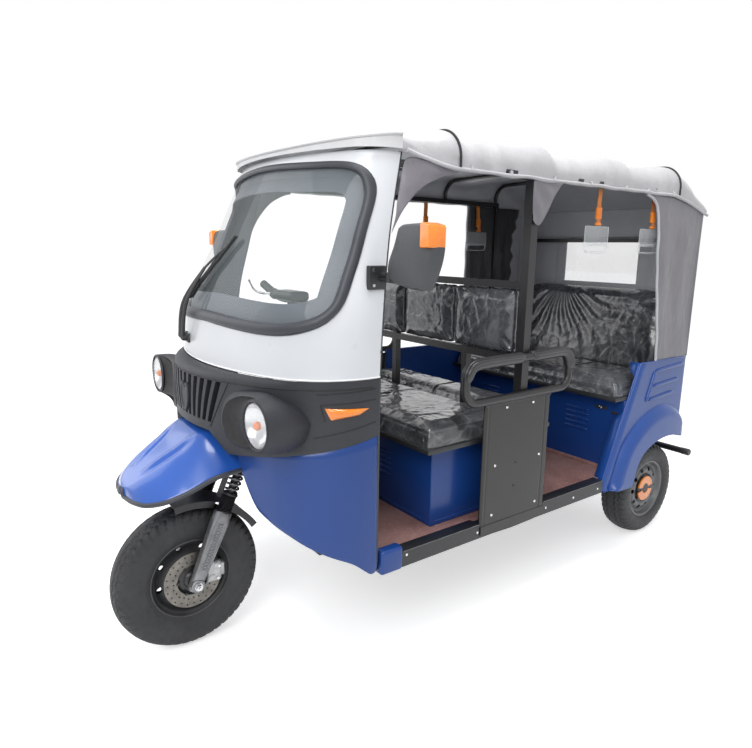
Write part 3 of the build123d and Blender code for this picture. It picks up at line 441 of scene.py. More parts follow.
def boltHead(bm, spot, direction, radius=0.006, height=0.004, slot=0):
    made = bmesh.ops.create_cone(bm, cap_ends=True, cap_tris=False, segments=6, radius1=radius,
        radius2=radius * 0.86, depth=height)["verts"]
    matrix = Matrix.Translation(Vector(spot)) @ aim(direction) @ Matrix.Translation((0, 0, height / 2))
    bmesh.ops.transform(bm, matrix=matrix, verts=made)
    facesOf(made, slot)


def tube(bm, line, radius, sides=10, closed=False, slot=0, flat=1, twist=0):
    # round skin along a line; radius may be a list, one value for each point
    count = len(line)
    radii = radius if isinstance(radius, (list, tuple)) else [radius] * count
    rings = []
    side = None
    for i, spot in enumerate(line):
        ahead = line[(i + 1) % count] if closed or i < count - 1 else spot
        behind = line[i - 1] if closed or i else spot
        way = (ahead - behind).normalized()
        if side is None:
            side = way.orthogonal().normalized() if abs(way.z) > 0.9 else way.cross(
                Vector((0, 0, 1))).normalized()
        side = (side - way * side.dot(way)).normalized()
        up = way.cross(side)
        rings.append([spot + (side * cos(twist + tau * k / sides) * flat + up * sin(twist + tau * k / sides))
            * radii[i] for k in range(sides)])
    if closed:
        rings.append(rings[0])
    else:
        rings = [[line[0]] * sides, *rings, [line[-1]] * sides]
    start = set(bm.verts)
    ribbon(bm, rings, slot=slot)
    faces = [f for f in bm.faces if not start.intersection(f.verts)]
    bmesh.ops.recalc_face_normals(bm, faces=faces)


def unit(value):
    # held between 0 and 1
    return min(1, max(0, value))


def bell(distance, width):
    # 1 at the middle, falling off on both sides
    return exp(-(distance / width) ** 2)


def between(start, stop, steps):
    # evenly spaced numbers, both ends among them
    return [start + (stop - start) * i / steps for i in range(steps + 1)]


def wheelSpot(centre, x, radius, turn):
    return centre + Vector((x, radius * cos(turn), radius * sin(turn)))


def smoothLoop(points, count, closed=True):
    # evenly spaced points on a soft curve through the given ones
    points = [Vector(point) for point in points]
    line = []
    total = len(points)
    spans = total if closed else total - 1
    for i in range(spans):
        p0, p1, p2, p3 = (points[(i + k - 1) % total] if closed else points[min(max(i + k - 1, 0), total - 1)]
            for k in range(4))
        for step in range(12):
            t = step / 12
            line.append(0.5 * (2 * p1 + (p2 - p0) * t + (2 * p0 - 5 * p1 + 4 * p2 - p3) * t * t
                + (3 * p1 - p0 - 3 * p2 + p3) * t ** 3))
    line.append(points[0] if closed else points[-1])
    lengths = [0]
    for a, b in zip(line[:-1], line[1:]):
        lengths.append(lengths[-1] + (b - a).length)
    spaced = []
    spot = 0
    for i in range(count):
        goal = lengths[-1] * i / (count if closed else count - 1)
        while spot < len(lengths) - 2 and lengths[spot + 1] < goal:
            spot += 1
        gap = lengths[spot + 1] - lengths[spot]
        t = (goal - lengths[spot]) / gap if gap else 0
        spaced.append(line[spot].lerp(line[spot + 1], min(1, t)))
    return spaced


def rough(spot, scale, seed=0):
    # smooth noise, about -1 to 1
    return noise.noise(Vector(spot) * scale + Vector((seed, seed * 1.7, seed * 0.6)))


def eased(rows, z):
    # soft curve through rows of numbers; the first number of a row is its level
    if z <= rows[0][0]:
        return rows[0][1:]
    if z >= rows[-1][0]:
        return rows[-1][1:]
    spot = max(i for i in range(len(rows) - 1) if rows[i][0] <= z)
    low, high = rows[spot], rows[spot + 1]
    span = high[0] - low[0]
    t = (z - low[0]) / span

    def slope(i, k):
        if i == 0 or i == len(rows) - 1:
            j = min(i, len(rows) - 2)
            return (rows[j + 1][k] - rows[j][k]) / (rows[j + 1][0] - rows[j][0])
        before = (rows[i][k] - rows[i - 1][k]) / (rows[i][0] - rows[i - 1][0])
        after = (rows[i + 1][k] - rows[i][k]) / (rows[i + 1][0] - rows[i][0])
        return 0 if before * after <= 0 else 2 * before * after / (before + after)

    result = []
    for k in range(1, len(low)):
        m0, m1 = slope(spot, k) * span, slope(spot + 1, k) * span
        result.append((2 * t ** 3 - 3 * t * t + 1) * low[k] + (t ** 3 - 2 * t * t + t) * m0
            + (3 * t * t - 2 * t ** 3) * high[k] + (t ** 3 - t * t) * m1)
    return tuple(result)


def bowParts(half, side, nose, radius):
    # the nose arc of a bowed outline and the angle where it meets the corner arc
    across, reach = half - radius, abs(side - nose)
    big = (across ** 2 + reach ** 2 - radius ** 2) / (2 * (reach - radius))
    return across, reach, big, atan2(across, big - reach)


def bowSpot(half, side, nose, radius, run, lift=0):
    # point at a signed length from the middle of a bowed outline: nose arc, corner arcs, straight sides
    sign = 1 if nose < side else -1
    across, reach, big, join = bowParts(half, side, nose, radius)
    length, way = abs(run), copysign(1, run)
    noseRun, cornerRun = big * join, radius * (pi / 2 - join)
    if length < noseRun:
        turn = length / big
        u, v = big * sin(turn), big * (1 - cos(turn))
    elif length < noseRun + cornerRun:
        turn = join + (length - noseRun) / radius
        u, v = across + radius * sin(turn), reach - radius * cos(turn)
    else:
        turn = pi / 2
        u, v = half, reach + length - noseRun - cornerRun
    return way * (u + lift * sin(turn)), nose + sign * (v - lift * cos(turn))


def bowRun(half, side, nose, radius, past=0):
    # length from the middle to a place past the start of the straight side
    big, join = bowParts(half, side, nose, radius)[2:]
    return big * join + radius * (pi / 2 - join) + past


# front shell, windscreen and band
# level, half width, side station, nose station, corner radius, rear edge
shellRows = [(1.11, 0.589, 0.45, 0.096, 0.3, 0.482), (1.27, 0.589, 0.455, 0.115, 0.29, 0.488),
    (1.56, 0.552, 0.53, 0.25, 0.22, 0.536), (1.85, 0.515, 0.605, 0.385, 0.15, 0.61)]
# outer edge of the windscreen rubber, left half from the foot upwards: x, station, z
screenEdge = [(0, 0.112, 1.266), (0.12, 0.119, 1.262), (0.234, 0.136, 1.257), (0.343, 0.163, 1.253),
    (0.432, 0.196, 1.256), (0.492, 0.238, 1.268), (0.532, 0.292, 1.293), (0.547, 0.338, 1.331),
    (0.549, 0.371, 1.379), (0.543, 0.413, 1.47), (0.535, 0.455, 1.575), (0.529, 0.479, 1.636),
    (0.525, 0.497, 1.682), (0.52, 0.509, 1.722), (0.512, 0.507, 1.752), (0.499, 0.496, 1.778),
    (0.476, 0.48, 1.798), (0.44, 0.458, 1.811), (0.383, 0.436, 1.817), (0.31, 0.414, 1.82),
    (0.223, 0.394, 1.824), (0.11, 0.38, 1.829), (0, 0.376, 1.831)]
screenFacts = {"centre": (0, 1.55), "steps": 132, "rubberWidth": 0.037, "innerFrame": 0.098, "wall": 0.018}
seamZ, shellTop = 1.112, 1.85


def skin(run, z, lift=0):
    x, station = bowSpot(*eased(shellRows, z)[:4], run, lift)
    return at(x, station, z)


def tailRun(z):
    half, side, nose, radius, tail = eased(shellRows, z)
    return bowRun(half, side, nose, radius, tail - side)


def runTo(x, station, z):
    # length along the skin to a place near it
    row = eased(shellRows, z)[:4]
    best, gap = 0, 9
    for step in range(400):
        run = step * 0.0025
        spot = bowSpot(*row, run)
        away = hypot(spot[0] - abs(x), spot[1] - station)
        if away < gap:
            best, gap = run, away
    return copysign(best, x) if x else 0


def screenLoop():
    half = [Vector((runTo(*spot), spot[2])) for spot in screenEdge]
    other = [Vector((-spot.x, spot.y)) for spot in reversed(half[1:-1])]
    return smoothLoop(half + other, screenFacts["steps"])


def pulledIn(loop, distance):
    # the loop moved inwards by a distance, square to itself
    moved = []
    for i, spot in enumerate(loop):
        way = (loop[(i + 1) % len(loop)] - loop[i - 1]).normalized()
        moved.append(spot + Vector((-way.y, way.x)) * distance)
    return moved


def ringIn(loop, distance):
    # pulled in less along the top, where the rubber is narrower
    return [a.lerp(b, 1 - 0.38 * unit((a.y - 1.75) / 0.05)) for a, b in zip(loop, pulledIn(loop, distance))]


def shellLoop(loop):
    # the edge of the whole shell, one point for each point of the loop
    rise, heart = (shellTop - seamZ) / 2, (seamZ + shellTop) / 2

    def spread(a, b):
        z = heart + b * rise
        return Vector((a * tailRun(z), z))

    ways = []
    for spot in loop:
        b = (spot.y - heart) / rise
        a = spot.x / tailRun(spot.y)
        ways.append(Vector((a, b)) / max(abs(a), abs(b)))
    for corner in ((-1, -1), (1, -1), (1, 1), (-1, 1)):
        nearest = min(range(len(ways)), key=lambda i: (ways[i] - Vector(corner)).length)
        ways[nearest] = Vector(corner)
    return [spread(*way) for way in ways]


def makeShell():
    loop = screenLoop()
    edge = shellLoop(loop)
    bm = bmesh.new()
    outer = [[skin(*a.lerp(b, t)) for a, b in zip(loop, edge)] for t in (0, 0.04, 0.1, 0.2, 0.32, 0.46, 0.6,
        0.74, 0.87, 0.96, 1)]
    ribbon(bm, outer)
    wall = screenFacts["wall"]
    inside = pulledIn(loop, screenFacts["innerFrame"])
    inner = [[skin(*a.lerp(b, t), -wall - 0.03 * (1 - t) ** 2) for a, b in zip(edge, inside)]
        for t in (0, 0.1, 0.25, 0.42, 0.6, 0.76, 0.9, 1)]
    ribbon(bm, [outer[-1], inner[0]])
    ribbon(bm, inner, slot=1)
    frameEdge = [skin(*p, -0.03) for p in inside]
    glassSide = [skin(*p, -0.016) for p in pulledIn(loop, 0.012)]
    ribbon(bm, [inner[-1], frameEdge, glassSide, outer[0]], slot=1)
    settle("upperShell", closeUp(bm), [whitePaint, linerPlastic], stands=["front_shell_upper"], smooth=60)

    bm = bmesh.new()
    width = screenFacts["rubberWidth"]
    profile = [(-0.002, -0.003), (-0.001, 0.004), (0.003, 0.009), (0.009, 0.0115), (0.019, 0.0125),
        (0.027, 0.0115), (0.033, 0.008), (width, 0.002), (width, -0.006), (width - 0.006, -0.014),
        (0.004, -0.014), (-0.002, -0.003)]
    ribbon(bm, [[skin(*p, lift) for p in ringIn(loop, inwards)] for inwards, lift in profile])
    settle("screenRubber", closeUp(bm), sealRubber, stands=["screen_gasket"], smooth=60)

    bm = bmesh.new()
    pane = ringIn(loop, width - 0.004)
    heart = Vector(screenFacts["centre"])
    ribbon(bm, [[skin(*p.lerp(heart, t), -0.004) for p in pane] for t in (0, 0.08, 0.18, 0.3, 0.42, 0.55,
        0.68, 0.8, 0.9, 1)])
    settle("windscreenPane", closeUp(bm), windscreenGlass, stands=["windscreen"], smooth=180)

    bm = bmesh.new()
    for side in (-1, 1):
        line = [skin(side * (tailRun(z) + 0.002), z, -0.007) for z in between(1.11, shellTop, 24)]
        foot = [at(side * 0.582, 0.483, z) for z in (0.44, 0.6, 0.8, 1)]
        tube(bm, foot + line, 0.0075, 10)
        boltHead(bm, skin(side * tailRun(1.2), 1.2, 0) + Vector((0.001 * side, 0.002, 0)), (side, 0.3, 0),
            0.006)
    settle("edgeRubber", bm, sealRubber)

    bm = bmesh.new()
    whole = tailRun(shellRows[0][0])
    tube(bm, [skin(run, 1.116, 0.0015) for run in between(-whole, whole, 120)], 0.0024, 8)
    settle("seamLine", bm, seamWhite)


bandFacts = {"reach": 0.066, "slots": 11, "pitch": 0.0455, "slotWidth": 0.027, "slotDepth": 0.02,
    "slotTop": 1.078, "slotFoot": 0.93}


def bandBow(out=1):
    # plan of the band and its length from the middle; out is 0 at the shell, 1 at the face
    half, side, nose, radius, tail = shellRows[0][1:]
    bow = (half, side, nose - bandFacts["reach"] * out, radius)
    return bow, bowRun(*bow, tail - side)


bandRun = bandBow()[1]


def bandSpot(share, z, out=1, lift=0):
    # share of the way from the middle to the rear edge of the band
    bow, whole = bandBow(out)
    x, station = bowSpot(*bow, share * whole, lift)
    return at(x, station, z)


def bandFoot(share):
    spot = bandSpot(share, 0)
    x, station = abs(spot.x), spot.y - frontAxle
    edge = 0.811 + 0.21 * station
    if x < 0.165:
        return 0.895
    return max(edge, 0.895 - (x - 0.165) / 0.085 * 0.065) if x < 0.25 else edge


# lower edge of the blue shell: x, station, z
lowerEdge = [(0.215, 0.118, 0.93), (0.232, 0.121, 0.86), (0.245, 0.124, 0.807), (0.269, 0.129, 0.744),
    (0.304, 0.139, 0.681), (0.338, 0.149, 0.636), (0.392, 0.168, 0.606), (0.462, 0.205, 0.57),
    (0.513, 0.251, 0.534), (0.551, 0.305, 0.503), (0.582, 0.384, 0.464), (0.589, 0.432, 0.425),
    (0.589, 0.455, 0.407), (0.589, 0.472, 0.406), (0.589, 0.4795, 0.416), (0.589, 0.4818, 0.44)]


def makeLowerShell():
    rows = smoothLoop([Vector((runTo(x, station, 1.1), z)) for x, station, z in lowerEdge], 90, False)
    for side in (-1, 1):
        bm = bmesh.new()
        columns = []
        for spot in rows:
            top = bandFoot(min(1, spot.x / (tailRun(1.1) + 0.04))) + 0.02
            column = [skin(side * spot.x, top + (spot.y - top) * t, -0.004 * (1 - t))
                for t in (0, 0.1, 0.25, 0.4, 0.6, 0.8, 0.92, 0.98)]
            column += [skin(side * spot.x, spot.y, lift) for lift in (-0.002, -0.008, -0.016)]
            columns.append(column)
        ribbon(bm, columns, closed=False)
        shell = settle("lowerShell" + ("Right" if side < 0 else "Left"), closeUp(bm, 0), bluePaint,
            stands=["front_shell_lower"], smooth=50)
        thicken(shell, 0.003)


def makeBand():
    top, foot = bandFacts["slotTop"], bandFacts["slotFoot"]

    def squeezed(share, z):
        # the grille narrows downwards
        hold = unit((0.47 - abs(share * bandRun)) / 0.2)
        return share * (1 - 0.25 * hold * unit((top - z) / (top - foot)))

    shares = [i / 46 for i in range(-46, 47)]
    reach = (bandFacts["slots"] - 1) / 2 * bandFacts["pitch"]
    half = bandFacts["slotWidth"] / 2
    inner = []
    for i in range(bandFacts["slots"]):
        centre = i * bandFacts["pitch"] - reach
        inner += [(centre - half, 0), (centre - half + 0.0015, 1), (centre - 0.002, 1), (centre + 0.002, 1),
            (centre + half - 0.0015, 1), (centre + half, 0)]
        if i < bandFacts["slots"] - 1:
            inner.append((centre + bandFacts["pitch"] / 2, 0))
    limit = (reach + half + 0.004) / bandRun
    columns = [(s, 0) for s in shares if s < -limit] + [(r / bandRun, deep) for r, deep in inner]
    columns += [(s, 0) for s in shares if s > limit]
    profile = [(0, 1.1095), (0.12, 1.1115), (0.6, 1.1095), (0.85, 1.104), (0.96, 1.096), (1, 1.086)]
    rings = [[bandSpot(s, z, out) for s, _ in columns] for out, z in profile]
    for z in (top + 0.002, top, top - 0.004, 1.05, 1.02, 0.99, 0.96, foot + 0.004, foot, foot - 0.002):
        row = []
        for s, deep in columns:
            lift = 0
            if deep and foot <= z <= top:
                lift = -bandFacts["slotDepth"]
            elif not deep and abs(s * bandRun) < reach:
                lift = 0.0022 * sin(pi * min(1, max(0, (z - foot) / (top - foot))))
            row.append(bandSpot(squeezed(s, z), z, 1, lift))
        rings.append(row)
    low = [squeezed(s, foot) for s, _ in columns]
    for t in (0.25, 0.5, 0.75, 0.95, 1):
        rings.append([bandSpot(s, (foot - 0.002) * (1 - t) + bandFoot(s) * t, 1, -0.003 if t == 1 else 0)
            for s in low])
    rings.append([bandSpot(s, bandFoot(s) + 0.002, 1, -0.02) for s in low])
    bm = bmesh.new()
    ribbon(bm, rings, closed=False, flip=True)
    settle("frontBand", bm, bandPlastic, stands=["front_band"], smooth=50)

    bm = bmesh.new()
    for side in (-1, 1):
        tube(bm, [bandSpot(side * (0.276 - 0.1 * t) / bandRun, 1.083 - 0.17 * t, 1, 0.0006)
            for t in between(0, 1, 14)], 0.0022, 6)
    tube(bm, [bandSpot(i / 60, 1.0835, 1, 0.0002) for i in range(-58, 59)], 0.0024, 6)
    for side in (-1, 1):
        for first, z0, last, z1 in ((0.603, 1.069, 0.81, 1.077), (0.615, 1.034, 0.81, 1.041),
                (0.591, 0.922, 0.81, 0.963), (0.615, 1.034, 0.63, 0.98)):
            line = zip(between(first, last, 12), between(z0, z1, 12))
            tube(bm, [bandSpot(side * run / bandRun, z, 1, 0.0004) for run, z in line], 0.0018, 6)
    settle("bandGrooves", bm, blackAndPaintedShade)

    bm = bmesh.new()
    shield = [(0, -0.055), (0.02, -0.045), (0.036, -0.015), (0.038, 0.025), (0.024, 0.042), (0.01, 0.036),
        (0, 0.03), (-0.01, 0.036), (-0.024, 0.042), (-0.038, 0.025), (-0.036, -0.015), (-0.02, -0.045)]
    loop = smoothLoop(shield, 48)
    rows = []
    for grow, lift in ((1, -0.004), (1, 0.006), (0.93, 0.0095), (0.8, 0.0095), (0.72, 0.0065), (0.4, 0.006),
            (0, 0.006)):
        rows.append([bandSpot(p.x * grow / bandRun, 0.998 + p.y * grow * 1.15, 1, lift) for p in loop])
    ribbon(bm, rows)
    settle("grilleShield", closeUp(bm), bandPlastic, smooth=35)


lampFacts = {"x": 0.486, "z": 0.985, "rim": 0.0835, "lens": 0.074, "front": 0.078, "turn": 0.05}
# round the lamp from its outer side: angle, share on the band, lip run, rise and lift, foot run and rise
lampRows = [(0, 0, -0.05, 0, 0.01, 0.05, -0.015), (45, 0, -0.05, 0.06, 0.01, 0.025, 0.022),
    (80, 0.02, -0.05, 0.085, 0.012, -0.03, 0.052), (105, 0.3, -0.12, 0.078, 0.008, -0.12, 0.08),
    (130, 0.85, -0.2, 0.066, 0.01, -0.215, 0.078), (155, 1, -0.265, 0.025, 0.01, -0.285, 0.035),
    (180, 1, -0.285, -0.03, 0.01, -0.305, -0.03), (205, 1, -0.26, -0.085, 0.012, -0.275, -0.1),
    (235, 0.85, -0.19, -0.118, 0.014, -0.2, -0.125), (262, 0.25, -0.1, -0.11, 0.012, -0.08, -0.115),
    (285, 0.02, -0.05, -0.1, 0.01, 0, -0.1), (320, 0, -0.05, -0.06, 0.01, 0.035, -0.065),
    (360, 0, -0.05, 0, 0.01, 0.05, -0.015)]


def makeLamps():
    fairing, glass, mirrorBowl, amber = empties(4)
    for side in (-1, 1):
        centre = at(side * lampFacts["x"], lampFacts["front"], lampFacts["z"])
        swing, rim, lens = (lampFacts[fact] for fact in ("turn", "rim", "lens"))
        forward = Vector((side * sin(swing), -cos(swing), 0))
        sideways = Vector((side * cos(swing), sin(swing), 0))
        mount = min((abs(bandSpot(k / 400, 0).x - lampFacts["x"]), k / 400) for k in range(401))[1] * bandRun

        def onBand(run, rise, lift):
            return bandSpot(side * (mount + run) / bandRun, lampFacts["z"] + rise, 1, lift)

        outside, bowlPaintedShade = [[] for _ in range(9)], [[] for _ in range(9)]
        for step in range(72):
            turn = tau * step / 72
            share, lipRun, lipRise, lift, footRun, footRise = eased(lampRows, degrees(turn))
            way = sideways * cos(turn) + Vector((0, 0, sin(turn)))
            edge = centre + way * rim
            lip = (edge + forward * 0.004).lerp(onBand(lipRun, lipRise, lift), share)
            foot = onBand(footRun, footRise, -0.003)
            for k in range(9):
                v = k / 8
                swell = sin(pi * v) * (0.01 * (1 - share) + 0.002)
                outside[k].append(foot.lerp(lip, v) + way * swell)
                dip = sin(pi * v ** 0.7) * 0.022 * share
                bowlPaintedShade[k].append(lip.lerp(edge - forward * 0.006 * share, v) - forward * dip)
        ribbon(fairing, outside)
        # the bowl round each lamp takes the black finish: painted shade for the deep recess
        ribbon(fairing, bowlPaintedShade, slot=1)
        knob(fairing, centre, forward, [(-0.001, rim), (0.004, rim - 0.002), (0.006, rim - 0.005),
            (0.004, rim - 0.008), (-0.002, lens + 0.001), (-0.02, lens - 0.001)], 48)
        knob(mirrorBowl, centre, forward, [(-0.002, lens), (-0.016, 0.068), (-0.032, 0.053), (-0.042, 0.03),
            (-0.046, 0)], 40)
        knob(glass, centre, forward, [(-0.003, lens + 0.001), (0.004, 0.069), (0.011, 0.05), (0.014, 0.027),
            (0.015, 0)], 40)
        knob(amber, centre - forward * 0.012, forward, [(0, 0), (0, 0.014), (0.011, 0.014), (0.017, 0.009),
            (0.019, 0)], 20)
    settle("lampFairings", closeUp(fairing), [bandPlastic, blackAndPaintedShade], smooth=50)
    settle("lampReflectors", closeUp(mirrorBowl), brightSteel, smooth=60)
    settle("lampBulbs", closeUp(amber), orangePlastic)
    settle("lampLenses", closeUp(glass), lampGlass, stands=["headlamps"], smooth=180)


def makeSignals():
    bm = bmesh.new()
    # corners: x, station, z from the front tip round
    tips = [(0.556, 0.312, 0.984), (0.586, 0.406, 0.996), (0.589, 0.44, 1.015), (0.545, 0.294, 1.024)]
    shares = between(0, 1, 400)

    def away(share, x, station):
        spot = bandSpot(share, 0)
        return abs(spot.x - x) + abs(spot.y - frontAxle - station)

    flat = [Vector((min((away(share, x, station), share) for share in shares)[1], z))
        for x, station, z in tips]
    for side in (-1, 1):
        def shape(u, v, side=side):
            low, high = flat[0].lerp(flat[1], u), flat[3].lerp(flat[2], u)
            spot = low.lerp(high, v)
            lift = 0.011 * (1 - abs(2 * u - 1) ** 3) * (1 - abs(2 * v - 1) ** 3) + 0.001
            return bandSpot(side * spot.x, spot.y, 1, lift)
        surface(bm, 18, 10, shape)
    settle("turnSignals", closeUp(bm, 0), orangePlastic, stands=["turn_signals"], smooth=40)


# half width, height at the centre, drop at the edge, against the station
beakRows = [(-0.218, 0.022, 0.69, 0.024), (-0.208, 0.095, 0.702, 0.034), (-0.18, 0.165, 0.727, 0.054),
    (-0.12, 0.221, 0.77, 0.076), (-0.05, 0.245, 0.816, 0.094), (0.04, 0.254, 0.878, 0.122),
    (0.145, 0.2585, 0.893, 0.124)]


def makeBeak():
    def spot(across, station, lift=0):
        half, top, drop = eased(beakRows, station)
        u = abs(across)
        fall = drop * (0.1 * u * u + 0.9 * max(0, u - 0.42) ** 1.6 / 0.58 ** 1.6)
        fade = unit((station + 0.17) / 0.06) * unit((0.02 - station) / 0.05)
        x = u * half
        line = 0.035 + 0.5 * (station + 0.19) * 0.62
        crease = 0.009 * bell(x - line, 0.011) - 0.006 * bell(x - line - 0.022, 0.012)
        return at(across * half, station, top - fall + lift + crease * fade)

    bm = bmesh.new()
    stations = [0.145 - 0.363 * (1 - (1 - i / 48) ** 1.6) for i in range(49)]
    upper = [[spot(j / 40, s) for j in range(-40, 41)] for s in stations]
    lower = [[spot(j / 40, s, -0.006) for j in range(-40, 41)] for s in stations]
    ribbon(bm, upper, closed=False)
    ribbon(bm, lower, closed=False, flip=True)
    for row in (0, -1):
        ribbon(bm, [upper[row], lower[row]], closed=False)
    for column in (0, -1):
        ribbon(bm, [[r[column] for r in upper], [r[column] for r in lower]], closed=False)
    settle("beak", closeUp(bm), beakBlueWithPaintedLight, stands=["beak_mudguard"], smooth=60)
    bm = bmesh.new()
    left = [spot(-1, s, -0.006) for s in stations[:-1]]
    tip = [spot(j / 4, stations[-1], -0.006) + Vector((0, -0.004 * (1 - (j / 4) ** 2), 0))
        for j in range(-4, 5)]
    right = [spot(1, s, -0.006) for s in reversed(stations[:-1])]
    tube(bm, smoothLoop(left + tip + right, 150, False), 0.0085, 10)
    settle("beakEdge", bm, sealRubber, smooth=60)


def makeWiper():
    bm = bmesh.new()
    grip = skin(-0.11, 1.455, 0.034)
    for x, z in ((-0.25, 1.178), (-0.185, 1.176)):
        run = -runTo(-x, 0.11, z)
        knob(bm, skin(run, z), (x * 0.4, -1, 0.15), [(-0.002, 0), (-0.002, 0.019), (0.006, 0.018),
            (0.01, 0.012), (0.026, 0.012), (0.031, 0.009), (0.032, 0)], 18)
        arm = smoothLoop([skin(run, z, 0.026), skin(run * 0.72, 1.32, 0.042), grip], 14, False)
        tube(bm, arm, between(0.0075, 0.0045, 13), 8, flat=1.3)
    for lift, radius in ((0.019, 0.006), (0.009, 0.0035)):
        blade = zip(between(-0.19, 0.012, 10), between(1.335, 1.572, 10))
        tube(bm, [skin(run, z, lift) for run, z in blade], radius, 6)
    bridge = [skin(-0.15, 1.382, 0.024), skin(-0.11, 1.45, 0.034), skin(-0.03, 1.524, 0.024)]
    tube(bm, smoothLoop(bridge, 12, False), 0.0045, 6)
    settle("wiperArms", bm, blackPlastic, stands=["wiper"], smooth=50)


makeShell()
makeLowerShell()
makeBand()
makeLamps()
makeSignals()
makeBeak()
makeWiper()
print("front done")


# roof cover, curtains and straps
# station, half width, side level, crown level, corner radius
roofRows = [(0.34, 0.531, 1.86, 1.873, 0.012), (0.48, 0.531, 1.861, 1.898, 0.03),
    (0.61, 0.533, 1.862, 1.92, 0.05), (0.7, 0.56, 1.852, 1.935, 0.076), (0.792, 0.594, 1.84, 1.946, 0.1),
    (0.812, 0.594, 1.838, 1.945, 0.1), (0.85, 0.594, 1.823, 1.928, 0.09), (1.282, 0.594, 1.838, 1.948, 0.104),
    (1.302, 0.594, 1.837, 1.946, 0.104), (1.342, 0.594, 1.82, 1.918, 0.084),
    (1.812, 0.594, 1.838, 1.946, 0.102), (1.832, 0.594, 1.837, 1.944, 0.102),
    (1.872, 0.594, 1.826, 1.922, 0.086), (2.242, 0.594, 1.844, 1.95, 0.098),
    (2.262, 0.594, 1.842, 1.948, 0.096), (2.552, 0.594, 1.744, 1.776, 0.03)]
hemRows = [(0.34, 1.853), (0.6, 1.852), (0.68, 1.832), (0.8, 1.8), (2.2, 1.8), (2.3, 1.786), (2.552, 1.722)]
roofFacts = {"hoops": (0.8, 1.29, 1.82, 2.25), "back": 2.552, "cloth": 0.0026}
# plan of the cover's front edge: half width, side station, nose station, corner radius
roofBow = (0.531, 0.605, 0.369, 0.166)


def roofFront(x):
    # station of the cover's front edge
    if abs(x) >= roofBow[0]:
        return roofBow[1]
    best = (9, 0)
    for step in range(300):
        reach, station = bowSpot(*roofBow, step * 0.003)
        best = min(best, (abs(reach - abs(x)), station))
        if reach >= 0.5305:
            break
    return best[1]


def roofSpot(share, station, lift=0):
    half, side, crown, radius = eased(roofRows, station)
    foot = eased(hemRows, station)[0]
    whole = bowRun(half, side, crown, radius, max(0.006, side - foot))
    x, z = bowSpot(half, side, crown, radius, share * whole, lift)
    return at(x, station, z)


def slack(spot, station, share):
    # how far the cloth gives between the hoops, and its creases
    gap = min(abs(station - hoop) for hoop in roofFacts["hoops"])
    free = min(1, gap / 0.16)
    sideways = abs(share)
    crease = rough((spot.x * 1.6, station * 5.5, spot.z * 7), 1, 3) * 0.006
    fan = sin(station * 46 + 5 * sideways + 3 * rough((spot.x, station, 0), 3, 8)) * 0.0035
    low = max(0, sideways - 0.74) / 0.26
    return free * (crease - 0.004 * (1 - sideways)) + free * low * fan - 0.004 * free * low


def makeCover():
    bm = bmesh.new()
    starts = {}

    def shape(u, v):
        share = 2 * u - 1
        key = round(share, 4)
        if key not in starts:
            starts[key] = roofFront(roofSpot(share, 0.6).x)
        station = starts[key] + (roofFacts["back"] - starts[key]) * v
        spot = roofSpot(share, station)
        return roofSpot(share, station, slack(spot, station, share))

    surface(bm, 100, 200, shape)
    cover = settle("roofCover", closeUp(bm, 0), [canvas, liningWithPaintedLight], stands=["roof_cover"], smooth=180)
    thicken(cover, roofFacts["cloth"], material_offset=1, material_offset_rim=0)
    hem = bmesh.new()
    for side in (-1, 1):
        line = [roofSpot(side * 0.995, s) + Vector((side * 0.001, 0, 0.004 * rough((s, side, 0), 9)))
            for s in between(0.62, 2.55, 150)]
        tube(hem, line, [0.0075 + 0.0022 * rough((i * 0.13, side, 2), 1) for i in range(151)], 10)
    front = []
    for i in range(-60, 61):
        x = roofBow[0] * sin(i / 60 * pi / 2)
        station = roofFront(x)
        front.append(at(x, station - 0.003, roofSpot(x / 0.6, station + 0.002).z - 0.002))
    tube(hem, front, 0.0065, 10, slot=1)
    skirt = [[Vector((p.x, p.y + inset, p.z + (1.8575 - p.z) * t)) for p in front]
        for inset, t in ((0, 0), (0, 0.3), (0, 0.65), (0, 1), (0.0025, 1), (0.0025, 0.5), (0.0025, 0))]
    ribbon(hem, skirt, closed=False, slot=1)
    hemPiece = settle("coverHems", hem, [canvas, brimCloth], smooth=60)
    piping = bmesh.new()
    for station in (0.806, 2.256):
        tube(piping, [roofSpot(i / 60, station, 0.0035) for i in range(-59, 60)], 0.0042, 8)
    tube(piping, [roofSpot(i / 60, 0.604, 0.002) for i in range(-50, 51)], 0.0026, 8)
    pipingPiece = settle("coverPiping", piping, blackAndPaintedShade, smooth=60)
    snaps = bmesh.new()
    for side in (-1, 1):
        for s in (0.86, 1.06, 1.31, 1.55, 1.8, 1.98, 2.2):
            spot = roofSpot(side * 0.985, s)
            knob(snaps, spot + Vector((side * 0.006, 0, 0.003)), (side, 0, 0),
                [(-0.004, 0), (-0.004, 0.008), (0.0015, 0.0075), (0.0035, 0.004), (0.004, 0)], 14)
    snapPiece = settle("coverSnaps", snaps, brightSteel)


def sheetArea(piece):
    return round(sum(face.area for face in piece.data.polygons) / 2, 4)


def roundedRing(tips, shares, count):
    # a closed line through points along the sides of a shape
    sides = zip(tips, tips[1:] + tips[:1])
    return smoothLoop([a.lerp(b, t) for a, b in sides for t in shares], count)


